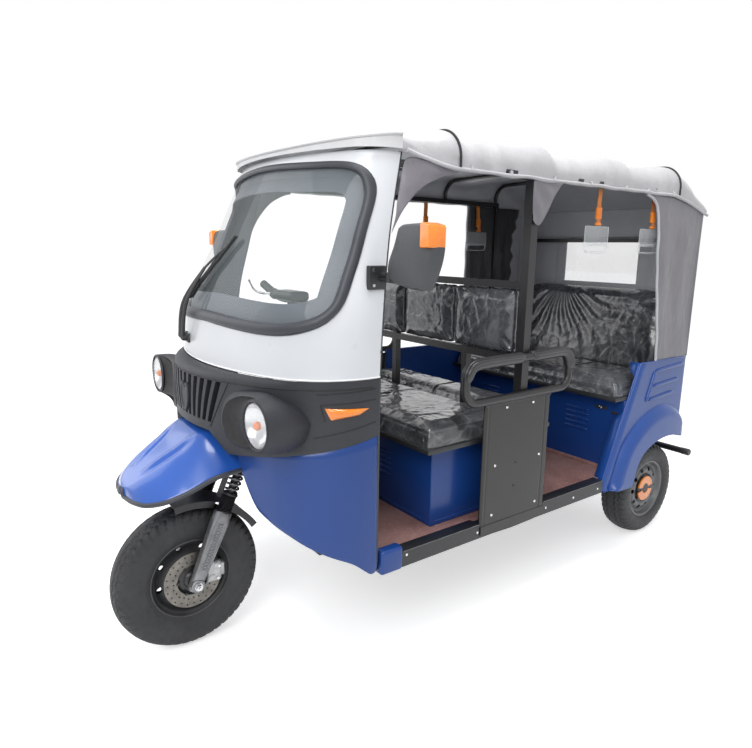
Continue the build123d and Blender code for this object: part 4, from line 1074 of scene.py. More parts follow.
def makeCurtains():
    windowLow, windowHigh = corners("rear_window")
    windowX = (windowHigh.x - windowLow.x) / 2 - 0.004
    lowZ, highZ = windowLow.z + 0.004, windowHigh.z - 0.004
    fronts, back, half, corner = (2.156, 2.02), 2.549, 0.5905, 0.035
    leaning = [(1, 0.05), (1.06, 0.046), (1.5, -0.031), (1.6, -0.042), (1.69, -0.058), (1.75, -0.085),
        (1.782, -0.13), (1.8, -0.2)]
    crest = sorted((roofSpot(k / 200, 2.546).x, roofSpot(k / 200, 2.546).z) for k in range(201))
    sideRuns, backRun = [back - corner - front for front in fronts], half - corner
    total = sum(sideRuns) + 2 * backRun + pi * corner

    def plan(run):
        # from the left front edge round the tail to the right one
        side = 1 if run < sideRuns[0] + backRun + corner * pi / 2 else -1
        run = run if side > 0 else total - run
        sideRun, front = (sideRuns[0], fronts[0]) if side > 0 else (sideRuns[1], fronts[1])
        if run < sideRun:
            return side * half, front + run
        turn = (run - sideRun) / corner
        if turn < pi / 2:
            return side * (half - corner + corner * cos(turn)), back - corner + corner * sin(turn)
        return side * (half - corner - (run - sideRun - corner * pi / 2)), back

    def shape(u, v):
        x, station = plan(u * total)
        if abs(x) > half - 0.001 and station < back - corner:
            top = eased(hemRows, station)[0] + 0.012
        else:
            top = max(z for reach, z in crest if reach >= min(abs(x), crest[-1][0])) - 0.001
        z = 1.0035 + (top - 1.0035) * v
        if x > half - 0.001 and station < back - corner:
            # the front edge on this side leans and sweeps forward under the hem
            station += eased(leaning, z)[0] * (back - corner - station) / sideRuns[0]
        fold = 0.006 * sin(u * total * 31 + 1.5 * rough((x * 3, station * 3, z), 1.2)) * min(1, 3 * v,
            4 * (1 - v))
        fold += 0.005 * rough((x * 2, station * 4, z * 1.5), 2, 5)
        away = Vector((x, 0, 0)).normalized() if station < back - corner else Vector((0, 1, 0))
        if abs(x) < windowX + 0.06 and station > back - 0.01:
            fold *= 0.25
        return at(x, station, z) + away * (fold * 0.55 - 0.002)

    def atTail(spot):
        return spot.y > frontAxle + back - 0.03

    def inWindow(spot):
        return abs(spot.x) < windowX and lowZ < spot.z < highZ and atTail(spot)

    bm = bmesh.new()
    surface(bm, 240, 70, shape)
    for normal, co in (((1, 0, 0), (windowX, 0, 0)), ((1, 0, 0), (-windowX, 0, 0)), ((0, 0, 1), (0, 0, lowZ)),
            ((0, 0, 1), (0, 0, highZ))):
        near = [f for f in bm.faces if atTail(f.calc_center_median())]
        geom = near + list({e for f in near for e in f.edges}) + list({v for f in near for v in f.verts})
        bmesh.ops.bisect_plane(bm, geom=geom, plane_co=co, plane_no=normal, dist=1e-5)
    hole = [f for f in bm.faces if inWindow(f.calc_center_median())]
    bmesh.ops.delete(bm, geom=hole, context="FACES")
    curtain = settle("rearCurtain", closeUp(bm, 0), [sideCloth, liningWithPaintedLight], stands=["rear_curtain"], smooth=180)
    thicken(curtain, 0.0022, 0, material_offset=1, material_offset_rim=0)
    trim = bmesh.new()
    for side, front in zip((1, -1), fronts):
        edge = [at(side * 0.592, front + 0.002 * (1 + sin(z * 40)) + (side > 0) * eased(leaning, z)[0], z)
            for z in between(1.005, 1.795, 60)]
        tube(trim, edge, 0.0065, 8)
    ring = [at(x, 2.5505, z) for x, z in ((-windowX, lowZ), (windowX, lowZ), (windowX, highZ),
        (-windowX, highZ))]
    tube(trim, roundedRing(ring, (0.02, 0.3, 0.7, 0.98), 90), 0.005, 8, closed=True)
    # the trim takes the lining colour, with its painted light
    trimPiece = settle("curtainTrim", trim, liningWithPaintedLight)
    pane = bmesh.new()
    surface(pane, 24, 14, lambda u, v: at((2 * u - 1) * (windowX + 0.008),
        2.547 + 0.002 * rough((u * 4, v * 3, 0), 1), lowZ - 0.008 + (highZ - lowZ + 0.016) * v))
    film = settle("rearWindowFilm", closeUp(pane, 0), clearFilm, stands=["rear_window"], smooth=180)


def flap(name, lower, upper, finish, bulge=0.004, seed=0):
    # a stretched piece of cloth between two soft lines of (x, station, z)
    for side in (1, -1):
        bm = bmesh.new()
        low, high = (smoothLoop([at(side * x, s, z) for x, s, z in line], 31, False)
            for line in (lower, upper))

        def shape(u, v, side=side, low=low, high=high):
            i = round(u * 30)
            spot = low[i].lerp(high[i], v)
            swell = bulge * sin(pi * v) * (0.5 + 0.5 * sin(u * 17 + 4 * v + seed))
            return spot + Vector((side * (swell + 0.003 * rough(spot, 9, seed)), 0, 0))

        surface(bm, 30, 16, shape)
        piece = settle(name + ("Left" if side > 0 else "Right"), closeUp(bm, 0), finish, smooth=180)
        thicken(piece, 0.0022, 0)
        yield piece


def makeFlaps():
    lower = [(0.543, 0.556, 1.585), (0.549, 0.602, 1.665), (0.56, 0.672, 1.738), (0.577, 0.752, 1.778),
        (0.589, 0.8, 1.79)]
    upper = [(0.531, 0.59, 1.7), (0.524, 0.612, 1.8), (0.53, 0.64, 1.835), (0.57, 0.73, 1.815),
        (0.591, 0.803, 1.8)]
    front = list(flap("frontGusset", lower, upper, [sideCloth], 0.006))
    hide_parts("gussets")
    for piece in front:
        area = sheetArea(piece)
    lower = [(0.597, 1.195, 1.652), (0.598, 1.214, 1.634), (0.599, 1.238, 1.636), (0.597, 1.275, 1.678),
        (0.596, 1.318, 1.745), (0.594, 1.362, 1.795)]
    upper = [(0.595, 1.192, 1.7), (0.595, 1.192, 1.78), (0.594, 1.2, 1.8), (0.594, 1.25, 1.801),
        (0.594, 1.32, 1.801), (0.594, 1.368, 1.801)]
    for piece in flap("pillarFlap", lower, upper, [sideCloth], 0.005, seed=2):
        area = sheetArea(piece)
    ragged = [(0.47, 0), (0.46, 0.1), (0.44, 0.16), (0.45, 0.25), (0.41, 0.34), (0.42, 0.42), (0.4, 0.55),
        (0.43, 0.63), (0.4, 0.74), (0.42, 0.86), (0.39, 1)]

    def shape(u, v):
        reach = 0.22
        for (a, va), (b, vb) in zip(ragged[:-1], ragged[1:]):
            if va <= 1 - v <= vb:
                reach = a + (b - a) * ((1 - v) - va) / (vb - va)
        z = 1.795 - 0.47 * (1 - v)
        return at(-0.574 + 0.006 * sin(u * 26 + v * 3) * (1.1 - v), 2.022 + reach * u - 0.02 * u, z)

    bm = bmesh.new()
    surface(bm, 26, 70, shape)
    piece = settle("sideCurtain", closeUp(bm, 0), [darkCloth], smooth=180)
    thicken(piece, 0.002, 0)
    sheetArea(piece)


def makeStraps():
    belt, buckle, plate, loop = empties(4)
    for side in (-1, 1):
        for station in (1.66, 2.08):
            x = side * 0.5665
            lean = 0.02 if station > 2 else 0.004
            for offset in (-0.0016, 0.0016):
                surface(belt, 14, 4, lambda u, v: at(x + offset + 0.0015 * sin(u * 9),
                    station + lean * (1 - u) + 0.026 * (v - 0.5), 1.652 + 0.146 * u))
            low = at(x - 0.006, station + lean * 0.6 - 0.016, 1.672)
            box(buckle, low, low + Vector((0.012, 0.032, 0.05)), 0.003, 3)
            low = at(x - 0.0055, station + lean * 0.8 - 0.018, 1.646)
            box(buckle, low, low + Vector((0.011, 0.036, 0.012)), 0.003, 2)
            width, top, foot = 0.085, 1.642, 1.562
            surface(plate, 8, 8, lambda u, v: at(x + 0.002 * sin(3 * u), station + width * (2 * u - 1),
                foot + (top - foot) * v))
            ring = [at(x, station + s * 1.15, z) for s, z in ((-0.058, 1.568), (0.058, 1.568), (0.066, 1.552),
                (0.058, 1.535), (-0.058, 1.535), (-0.066, 1.552))]
            tube(loop, smoothLoop(ring, 40), 0.0045, 8, closed=True)
            ring = [at(x, station + s, z) for s, z in ((-width, foot), (width, foot), (width, top),
                (-width, top))]
            tube(loop, roundedRing(ring, (0.04, 0.5, 0.96), 40), 0.0016, 6, closed=True)
    settle("strapBelts", closeUp(belt, 0), webbing, stands=["hand_straps"], smooth=180)
    settle("strapBuckles", buckle, strapPlastic)
    settle("strapPlates", closeUp(plate, 0), clearFilm, smooth=180)
    settle("strapGrips", loop, clearFilm, smooth=60)


def makeMirrors():
    # outline of the housing seen from the front: x, z
    outline = [(0.6786, 1.608), (0.7208, 1.611), (0.7675, 1.611), (0.8185, 1.603), (0.8273, 1.59),
        (0.8282, 1.528), (0.8115, 1.47), (0.7833, 1.418), (0.7692, 1.411), (0.7217, 1.413), (0.6548, 1.425),
        (0.6223, 1.438), (0.617, 1.452), (0.6196, 1.49), (0.6496, 1.55), (0.6689, 1.6)]
    heart = Vector((0.727, 1.512))
    shell, glass, lens, arms = empties(4)
    for side in (-1, 1):
        loop = smoothLoop(outline, 64)
        rings = []
        for grow, station in ((0, 0.47), (0.45, 0.471), (0.78, 0.474), (0.92, 0.48), (0.985, 0.492),
                (1, 0.508), (1, 0.532), (0.985, 0.536), (0.955, 0.536), (0.95, 0.53)):
            row = []
            for p in loop:
                q = heart.lerp(p, grow)
                ridge = 0.006 * max(0, (q.x - 0.755) / 0.08) if station < 0.5 else 0
                row.append(at(side * q.x, station + ridge, q.y))
            rings.append(row)
        ribbon(shell, rings)
        ribbon(glass,
            [[at(side * heart.lerp(p, g).x, 0.531 - 0.004 * (1 - g), heart.lerp(p, g).y) for p in loop]
            for g in (0.952, 0.6, 0)])
        patch = [(0.79, 1.541), (0.793, 1.538), (0.827, 1.539), (0.83, 1.542), (0.8305, 1.596),
            (0.826, 1.604), (0.793, 1.612), (0.79, 1.608)]
        ribbon(lens, [[at(side * (0.81 + (x - 0.81) * g), s, 1.576 + (z - 1.576) * g) for x, z in patch]
            for g, s in ((1, 0.534), (1, 0.474), (0.93, 0.468), (0.5, 0.467), (0, 0.467))])
        box(arms, at(side * 0.566, 0.437, 1.404), at(side * 0.584, 0.507, 1.481), 0.004, 3)
        for z in (1.418, 1.466):
            boltHead(arms, at(side * 0.584, 0.455, z), (side, 0, 0), 0.0065, slot=1)
        for z in (1.437, 1.452):
            tube(arms, [at(side * 0.578, 0.488, z), at(side * 0.6, 0.49, z),
                at(side * 0.625, 0.495, z - 0.002), at(side * 0.66, 0.505, z - 0.004)], 0.0085, 10)
        knob(arms, at(side * 0.617, 0.492, 1.43), (0, 0, 1), [(0, 0), (0, 0.013), (0.03, 0.013), (0.03, 0)],
            16)
    settle("mirrorHousings", closeUp(shell, 1e-6), mirrorPlastic, stands=["mirror_left", "mirror_right"],
        smooth=28)
    settle("mirrorGlasses", closeUp(glass, 1e-6), chrome)
    settle("mirrorSignals", closeUp(lens, 1e-6), orangePlastic, smooth=40)
    settle("mirrorArms", arms, [blackPlastic, brightSteel])


makeCover()
makeCurtains()
makeFlaps()
makeStraps()
makeMirrors()
print("roof done")


# wheels and fork
tyreFacts = {"front": {"radius": 0.284, "half": 0.0625, "bead": 0.151, "blocks": 50},
    "rear": {"radius": 0.254, "half": 0.071, "bead": 0.151, "blocks": 44}}


def makeTyreMesh(centre, facts):
    # treaded tyre: blocks at the shoulders, zigzag grooves round the crown, ridges on the walls
    radius, half, bead, blocks = facts["radius"], facts["half"], facts["bead"], facts["blocks"]
    rise = radius - bead
    side = [(0.78, 0), (0.81, 0.05), (0.93, 0.18), (1, 0.4), (0.985, 0.6), (0.93, 0.76), (0.865, 0.84),
        (0.74, 0.9), (0.5, 0.955), (0.25, 0.985), (0, 1)]
    outline = [Vector((x * half, bead + r * rise)) for x, r in side]
    outline += [Vector((-p.x, p.y)) for p in reversed(outline[:-1])]
    line = smoothLoop(outline, 76, False)

    def depth(x, r, turn):
        across = abs(x) / half
        phase = (blocks * turn / tau) % 1
        if r > radius - 0.3 * rise:
            slant = (phase + (0.9 - across) * 1.1) % 1
            if across > 0.58 and slant < 0.34:
                return 0.006 * min(1, (across - 0.58) / 0.06)
            zig = 0.3 + 0.06 * (abs(2 * phase - 1) * 2 - 1)
            if abs(across - zig) < 0.045 or abs(across - 0.6 - 0.03 * (abs(2 * phase - 1) * 2 - 1)) < 0.035:
                return 0.0045
        height = (r - bead) / rise
        if abs(height - 0.14) < 0.012 or abs(height - 0.52) < 0.008 or abs(height - 0.6) < 0.006:
            return -0.0012
        return 0

    def shape(u, v):
        turn = tau * u
        spot = line[round(v * 75)]
        r = spot.y - depth(spot.x, spot.y, turn)
        return wheelSpot(centre, spot.x, r, turn)

    bm = bmesh.new()
    surface(bm, blocks * 8, 75, shape)
    inside = [line[0], line[0] - Vector((0.012, 0)), line[0] + Vector((-0.02, 0.03)),
        line[-1] + Vector((0.02, 0.03)), line[-1] + Vector((0.012, 0)), line[-1]]
    turned(bm, centre, inside, blocks * 8)
    return closeUp(bm, 2e-5)


def turned(bm, centre, profile, steps=96):
    # closed or open profile of (x, radius) turned about the axle
    count = len(profile) - 1
    surface(bm, steps, count, lambda u, v: wheelSpot(centre, *profile[round(v * count)], tau * u))


def pierce(bm, spot, axis, radius):
    # opens a round hole through the thin skins near a place
    axis = Vector(axis)

    def away(point):
        offset = point - spot
        return (offset - axis * offset.dot(axis)).length

    near = [f for f in bm.faces if away(f.calc_center_median()) < radius * 0.85
        and abs((f.calc_center_median() - spot).dot(axis)) < 0.02]
    verts = {v for f in near for v in f.verts}
    bmesh.ops.delete(bm, geom=near, context="FACES")
    for vert in verts:
        if vert.is_valid:
            offset = vert.co - spot
            flat = offset - axis * offset.dot(axis)
            if flat.length > 1e-6:
                vert.co += flat.normalized() * (radius - flat.length)


def holes(bm, centre, count, start, spot, radius):
    # a ring of round holes through a wheel; spot is (x, distance from the axle)
    for k in range(count):
        pierce(bm, wheelSpot(centre, *spot, tau * (k + start) / count), (1, 0, 0), radius)


frontHub = at(0, 0, tyreFacts["front"]["radius"])


def makeFrontWheel():
    centre = frontHub
    settle("frontTyre", makeTyreMesh(centre, tyreFacts["front"]), tyreRubber, "front_wheel", ["front_tyre"],
        30)
    bm = bmesh.new()
    rim = [(0.0495, 0.157), (0.0515, 0.1575), (0.052, 0.151), (0.044, 0.146), (0.036, 0.137), (0.026, 0.132),
        (0.018, 0.126), (0.014, 0.112), (0.016, 0.096), (0.024, 0.082), (0.034, 0.072), (0.04, 0.062),
        (0.05, 0.055), (0.056, 0.044), (0.056, 0.02)]
    fine = smoothLoop(rim, 46, False)
    turned(bm, centre, fine, 160)
    holes(bm, centre, 8, 0.35, (0.016, 0.119), 0.0105)
    turned(bm, centre, [(-p.x, p.y) for p in fine[:14]])
    turned(bm, centre, [(0.044, 0.1465), (0, 0.1455), (-0.044, 0.1465)])
    turned(bm, centre, [(-0.03, 0.137), (-0.012, 0.128), (0, 0.112), (0, 0.05), (-0.045, 0.045),
        (-0.048, 0.02)])
    holes(bm, centre, 8, 0.35, (-0.004, 0.119), 0.0135)
    settle("frontRim", closeUp(bm, 0), rimPaint, "front_wheel", ["front_rim"], 45)
    bm = bmesh.new()
    rows = [0.06, 0.066, 0.07, 0.075, 0.079, 0.084, 0.088, 0.093, 0.098, 0.103, 0.107, 0.111]
    for x in (0.0595, 0.0645):
        turned(bm, centre, [(x, r) for r in rows], 192)
    turned(bm, centre, [(0.0595, 0.111), (0.0645, 0.111)], 192)
    for k in range(24):
        for radius in (0.0775, 0.101) if k % 2 else (0.0745, 0.097):
            pierce(bm, wheelSpot(centre, 0.062, radius, tau * k / 24), (1, 0, 0), 0.0036)
    settle("frontDisc", closeUp(bm, 0), discSteel, "front_wheel", smooth=30)
    bm = bmesh.new()
    knob(bm, centre + Vector((0.04, 0, 0)), (1, 0, 0), [(0, 0.058), (0.012, 0.058), (0.018, 0.05),
        (0.02, 0.035), (0.028, 0.03), (0.032, 0.024), (0.032, 0)], 40)
    for k in range(6):
        boltHead(bm, wheelSpot(centre, 0.0645, 0.058, tau * k / 6), (1, 0, 0), 0.0065)
    settle("frontHub", bm, blackSteel, "front_wheel")


def makeRearWheels():
    for label, side in (("left", 1), ("right", -1)):
        centre = middle("rear_tyre_" + label)
        body = "rear_wheel_" + label
        settle("rearTyre" + label.title(), makeTyreMesh(centre, tyreFacts["rear"]), tyreRubber, body,
            ["rear_tyre_" + label], 30)
        bm = bmesh.new()
        rim = [(0.0555, 0.157), (0.0585, 0.158), (0.059, 0.151), (0.05, 0.146), (0.038, 0.141), (0.03, 0.134),
            (0.034, 0.122), (0.044, 0.11), (0.047, 0.1), (0.045, 0.088), (0.038, 0.078), (0.034, 0.068),
            (0.036, 0.056), (0.038, 0.04), (0.038, 0.01)]
        fine = [(side * p.x, p.y) for p in smoothLoop(rim, 46, False)]
        turned(bm, centre, fine, 160)
        holes(bm, centre, 10, 0, (side * 0.044, 0.108), 0.0115)
        turned(bm, centre, [(side * 0.05, 0.1465), (0, 0.1455), (-side * 0.05, 0.1465),
            (-side * 0.0585, 0.157)])
        turned(bm, centre, [(-side * 0.03, 0.137), (0, 0.13), (side * 0.022, 0.1), (side * 0.02, 0.05),
            (-side * 0.02, 0.045), (-side * 0.02, 0.02)])
        settle("rearRim" + label.title(), closeUp(bm, 0), rearRimPaint, body, ["rear_rim_" + label], 45)
        bm = bmesh.new()
        knob(bm, centre + Vector((side * 0.034, 0, 0)), (side, 0, 0),
            [(0, 0.062), (0.01, 0.062), (0.016, 0.057), (0.019, 0.04), (0.021, 0)], 40)
        for k in range(4):
            boltHead(bm, wheelSpot(centre, side * 0.036, 0.074, tau * (k + 0.5) / 4), (side, 0, 0), 0.009,
                0.01)
        settle("hubCap" + label.title(), bm, blackPlastic, body)
        bm = bmesh.new()
        # two bright half moons round a dark centre
        for k in range(2):
            rings = []
            for lift, inner, outer in ((0.05, 0.026, 0.07), (0.0545, 0.027, 0.069), (0.0565, 0.03, 0.066)):
                arc = [pi * k + radians(a) for a in between(12, 168, 30)]
                row = [(outer, a) for a in arc] + [(inner, a) for a in reversed(arc)]
                rings.append([wheelSpot(centre, side * lift, r, a) for r, a in row])
            ribbon(bm, rings)
            ribbon(bm, [rings[-1][:31], rings[-1][:30:-1]], closed=False)
        settle("hubMotif" + label.title(), closeUp(bm, 0), orangePlastic, body)


forkLean = radians(24)


def legSpot(s, x=0, back=0):
    # distance up the leg from the front axle, moved back from the leg line
    return at(x, s * sin(forkLean) + back * cos(forkLean), frontHub.z + s * cos(forkLean) - back
        * sin(forkLean))


def legFlare(s):
    # the sliders grow towards their upper end, seen from the side
    return 1 + 0.42 * unit((s - 0.03) / 0.2)


def makeFork():
    up = (legSpot(1) - legSpot(0)).normalized()
    cast, steel, boots, coils, bright = empties(5)
    for x in (-0.1, 0.1):
        side = copysign(1, x)
        # squarish cast slider with raised front and rear ribs
        rows = [(-0.03, 0.012), (-0.027, 0.02), (-0.015, 0.0245), (0.02, 0.0245), (0.05, 0.022),
            (0.09, 0.0215), (0.2, 0.022), (0.252, 0.0225), (0.258, 0.0245), (0.284, 0.0245), (0.289, 0.022),
            (0.289, 0.012)]
        rings = []
        for s, r in rows:
            ring = []
            for k in range(36):
                a, b = cos(tau * k / 36), sin(tau * k / 36)
                stretch = 1
                if 0.03 <= s <= 0.255:
                    stretch = min(1.22, 1 / max(abs(a), abs(b))) * (0.93 if abs(a) > 0.88 else 1)
                ring.append(legSpot(s, x + a * r * stretch, b * r * stretch * 1.06 * legFlare(s)))
            rings.append(ring)
        ribbon(cast, [[legSpot(-0.03, x)] * 36, *rings])
        for edge in (-1, 1):
            line = [legSpot(s, x + side * 0.0205, edge * 0.017 * legFlare(s))
                for s in (0.045, 0.09, 0.14, 0.2, 0.245)]
            tube(cast, line, [0.002, 0.0036, 0.0036, 0.0036, 0.002], 8)
        for k in range(15):
            s = 0.06 + 0.0125 * k
            for back in (-0.013, 0.013):
                tube(cast,
                    [legSpot(s, x + side * 0.0212, back), legSpot(s + 0.012, x + side * 0.0212, -back)],
                    0.0009, 4)
        knob(cast, legSpot(0, x), (side, 0, 0), [(0, 0.026), (0.024, 0.026), (0.027, 0.023), (0.027, 0)], 28)
        knob(bright, legSpot(0, x + side * 0.026), (side, 0, 0),
            [(0, 0.0165), (0.003, 0.0165), (0.003, 0.013), (0.013, 0.013), (0.015, 0.011), (0.015, 0.006),
            (0.021, 0.0055), (0.022, 0)], 6)
        for s in (0.04, 0.235):
            knob(steel, legSpot(s, x, 0.024), legSpot(s, x, 0.1) - legSpot(s, x),
                [(0, 0.008), (0.007, 0.008), (0.008, 0)], 12)
        tube(steel, [legSpot(s, x) for s in (0.28, 0.36, 0.44, 0.52, 0.66)], 0.0155, 20)
        ridges = [(0.003 + 0.064 * i / 24, 0.0245 + 0.0042 * (i % 2)) for i in range(25)]
        knob(boots, legSpot(0.288, x), up, [(0, 0), (0, 0.025), *ridges, (0.069, 0.02), (0.069, 0)], 30)
        coil = [legSpot(0.362 + 0.13 * t, x + 0.0235 * cos(tau * 6.5 * t), 0.0235 * sin(tau * 6.5 * t))
            for t in between(0, 1, 150)]
        tube(coils, coil, 0.0044, 8)
        knob(boots, legSpot(0.488, x), up, [(0, 0), (0, 0.03), (0.006, 0.0305), (0.011, 0.026), (0.011, 0)],
            30)
        knob(boots, legSpot(0.356, x), up, [(0, 0), (0, 0.0305), (0.005, 0.0305), (0.009, 0.027), (0.009, 0)],
            30)
    tube(steel, [legSpot(0, -0.12), legSpot(0, 0), legSpot(0, 0.12)], 0.0085, 16)
    settle("forkSliders", closeUp(cast, 0), castAlloy, "fork", ["fork_legs"], 40)
    settle("forkTubes", steel, blackSteel, "fork", smooth=60)
    settle("forkBoots", boots, blackPlastic, "fork", ["fork_springs"], 30)
    settle("forkSprings", coils, springSteel, "fork", smooth=180)
    settle("axleNuts", bright, brightSteel, "fork", smooth=25)

    low, high = corners("brake_caliper")
    bm = bmesh.new()
    heart = (low + high) / 2
    box(bm, (low.x + 0.006, low.y + 0.012, low.z + 0.012), (high.x - 0.004, heart.y + 0.018, high.z - 0.01),
        0.009, 4)
    box(bm, (low.x + 0.01, heart.y - 0.006, low.z + 0.022), (high.x - 0.014, high.y - 0.014, high.z - 0.026),
        0.009, 4)
    for s in (0.3, 0.72):
        spot = Vector((high.x - 0.012, low.y + 0.03 + 0.02 * (s > 0.5), low.z + (high.z - low.z) * s))
        knob(bm, spot, (1, 0, 0), [(0, 0), (0, 0.013), (0.01, 0.0125), (0.012, 0.008), (0.012, 0)], 20)
    knob(bm, Vector((high.x - 0.014, heart.y - 0.006, heart.z)), (1, 0, 0),
        [(0, 0.018), (0.008, 0.017), (0.011, 0.012), (0.011, 0)], 24)
    settle("brakeCaliper", bm, caliperSilver, "fork", ["brake_caliper"], 40)
    bm = bmesh.new()
    for s, y in ((0.24, 0.052), (0.7, 0.058)):
        spot = Vector((high.x, low.y + y, low.z + (high.z - low.z) * s))
        boltHead(bm, spot - Vector((0.008, 0, 0)), (1, 0, 0), 0.0075, 0.009)
    settle("caliperBolts", bm, brightSteel, "fork", smooth=20)


def makeHandlebar():
    bar, rubber, bright, white = empties(4)
    centre = legSpot(1.135, 0, 0.04)
    flat = centre + Vector((0, 0.002, 0.014))
    end = centre + Vector((0, 0.026, 0.066))
    half = [(0.12, flat.y, flat.z), (0.19, flat.y + 0.004, flat.z + 0.01), (0.345, end.y, end.z)]
    points = [(-x, y, z) for x, y, z in reversed(half)] + [flat] + half
    tube(bar, smoothLoop(points, 60, False), 0.011, 16)
    for side in (-1, 1):
        a, b = Vector((side * 0.222, flat.y + 0.0085, flat.z + 0.0225)), Vector((side * 0.345, end.y, end.z))
        tube(rubber, between(a, b, 40), [0.0165 + 0.0012 * (i % 2) for i in range(40)] + [0.018], 20)
        hub = a.lerp(b, -0.16)
        knob(rubber, hub - (b - a).normalized() * 0.012, b - a,
            [(0, 0), (0, 0.02), (0.006, 0.0225), (0.03, 0.0225), (0.036, 0.019), (0.036, 0)], 20)
        lever = [hub + Vector((0, -0.022, 0.004)), hub + Vector((side * 0.03, -0.05, 0.004)),
            hub + Vector((side * 0.09, -0.055, 0.016)), hub + Vector((side * 0.165, -0.042, 0.05))]
        tube(bright, smoothLoop(lever, 24, False), between(0.006, 0.004, 23), 10)
        knob(bright, lever[-1], (side, 0.2, 0.4), [(-0.006, 0), (-0.004, 0.005), (0, 0.0065), (0.004, 0.005),
            (0.006, 0)], 12)
    box(rubber, flat + Vector((-0.085, -0.075, 0.008)), flat + Vector((0.085, 0.012, 0.046)), 0.014, 4)
    box(white, flat + Vector((-0.062, -0.06, 0.045)), flat + Vector((0.062, -0.002, 0.049)), 0.0015, 2)
    box(bright, flat + Vector((-0.045, -0.022, -0.02)), flat + Vector((0.045, 0.022, 0.01)), 0.005, 3)
    settle("handlebarTube", bar, brightSteel, "fork", ["handlebar"], 60)
    settle("handlebarGrips", rubber, blackPlastic, "fork")
    settle("handlebarLevers", bright, brightSteel, "fork")
    settle("dashFace", white, lampGlass, "fork")


makeFrontWheel()
makeRearWheels()
makeFork()
makeHandlebar()
print("wheels and fork done")


# cushions under their clear wrap
def puffed(piece, cap, held, pressure=4):
    # blows the closed skin up a little, holding the points that held() names
    bpy.context.view_layer.update()
    scene = bpy.context.scene
    start = [vert.co.copy() for vert in piece.data.vertices]
    group = piece.vertex_groups.new(name="held")
    group.add([i for i, spot in enumerate(start) if held(spot)], 1, "REPLACE")
    cloth = piece.modifiers.new("cloth", "CLOTH")
    facts = cloth.settings
    facts.quality, facts.mass, facts.air_damping = 4, 0.25, 2
    facts.tension_stiffness = facts.compression_stiffness = facts.shear_stiffness = 12
    facts.bending_stiffness = 0.6
    facts.use_pressure, facts.uniform_pressure_force = True, pressure
    facts.vertex_group_mass = "held"
    facts.effector_weights.gravity = 0
    cloth.point_cache.frame_start, cloth.point_cache.frame_end = 1, 20
    for step in range(1, 21):
        scene.frame_set(step)
    shaped = piece.evaluated_get(bpy.context.evaluated_depsgraph_get())
    mesh = bpy.data.meshes.new_from_object(shaped)
    piece.modifiers.clear()
    piece.vertex_groups.clear()
    for vert, spot in zip(mesh.vertices, start):
        move = vert.co - spot
        if move.length > cap:
            vert.co = spot + move * (cap / move.length)
    piece.data = mesh
    scene.frame_set(1)
    return piece


def softBlock(name, low, high, finish, voxel, cap, held, dent, stands=(), rounding=0.02, shape=None,
        pressure=4):
    # a cushion that starts as a rounded block, is blown up, then gets its seams and creases
    bm = bmesh.new()
    box(bm, low, high, rounding, 3)
    if shape:
        bmesh.ops.subdivide_edges(bm, edges=[e for e in bm.edges if e.calc_length() > 0.08], cuts=12,
            use_grid_fill=True)
        for vert in bm.verts:
            vert.co = shape(vert.co.copy())
    piece = settle(name, bm, finish, stands=list(stands), smooth=180)
    finishWith(piece, "REMESH", mode="VOXEL", voxel_size=voxel, use_smooth_shade=True)
    puffed(piece, cap, held, pressure)
    finishWith(piece, "SUBSURF", levels=1, render_levels=1)
    mesh = piece.data
    normals = [vert.normal.copy() for vert in mesh.vertices]
    for vert, way in zip(mesh.vertices, normals):
        vert.co += way * dent(vert.co.copy(), way)
    mesh.shade_smooth()
    return piece


def wrapCreases(spot, seed, depth=0.0022):
    # short sharp folds of thin film
    warp = Vector((rough(spot, 5, seed), rough(spot, 5, seed + 3), rough(spot, 5, seed + 6))) * 0.05
    ridge = 1 - abs(noise.noise((spot + warp) * 13 + Vector((seed, 0, 0)))) * 3.2
    second = 1 - abs(noise.noise((spot + warp) * 27 + Vector((0, seed, 0)))) * 3.2
    return depth * (max(0, ridge) + 0.5 * max(0, second)) - depth * 0.6


seatFacts = {"voxel": 0.012, "cap": 0.014}


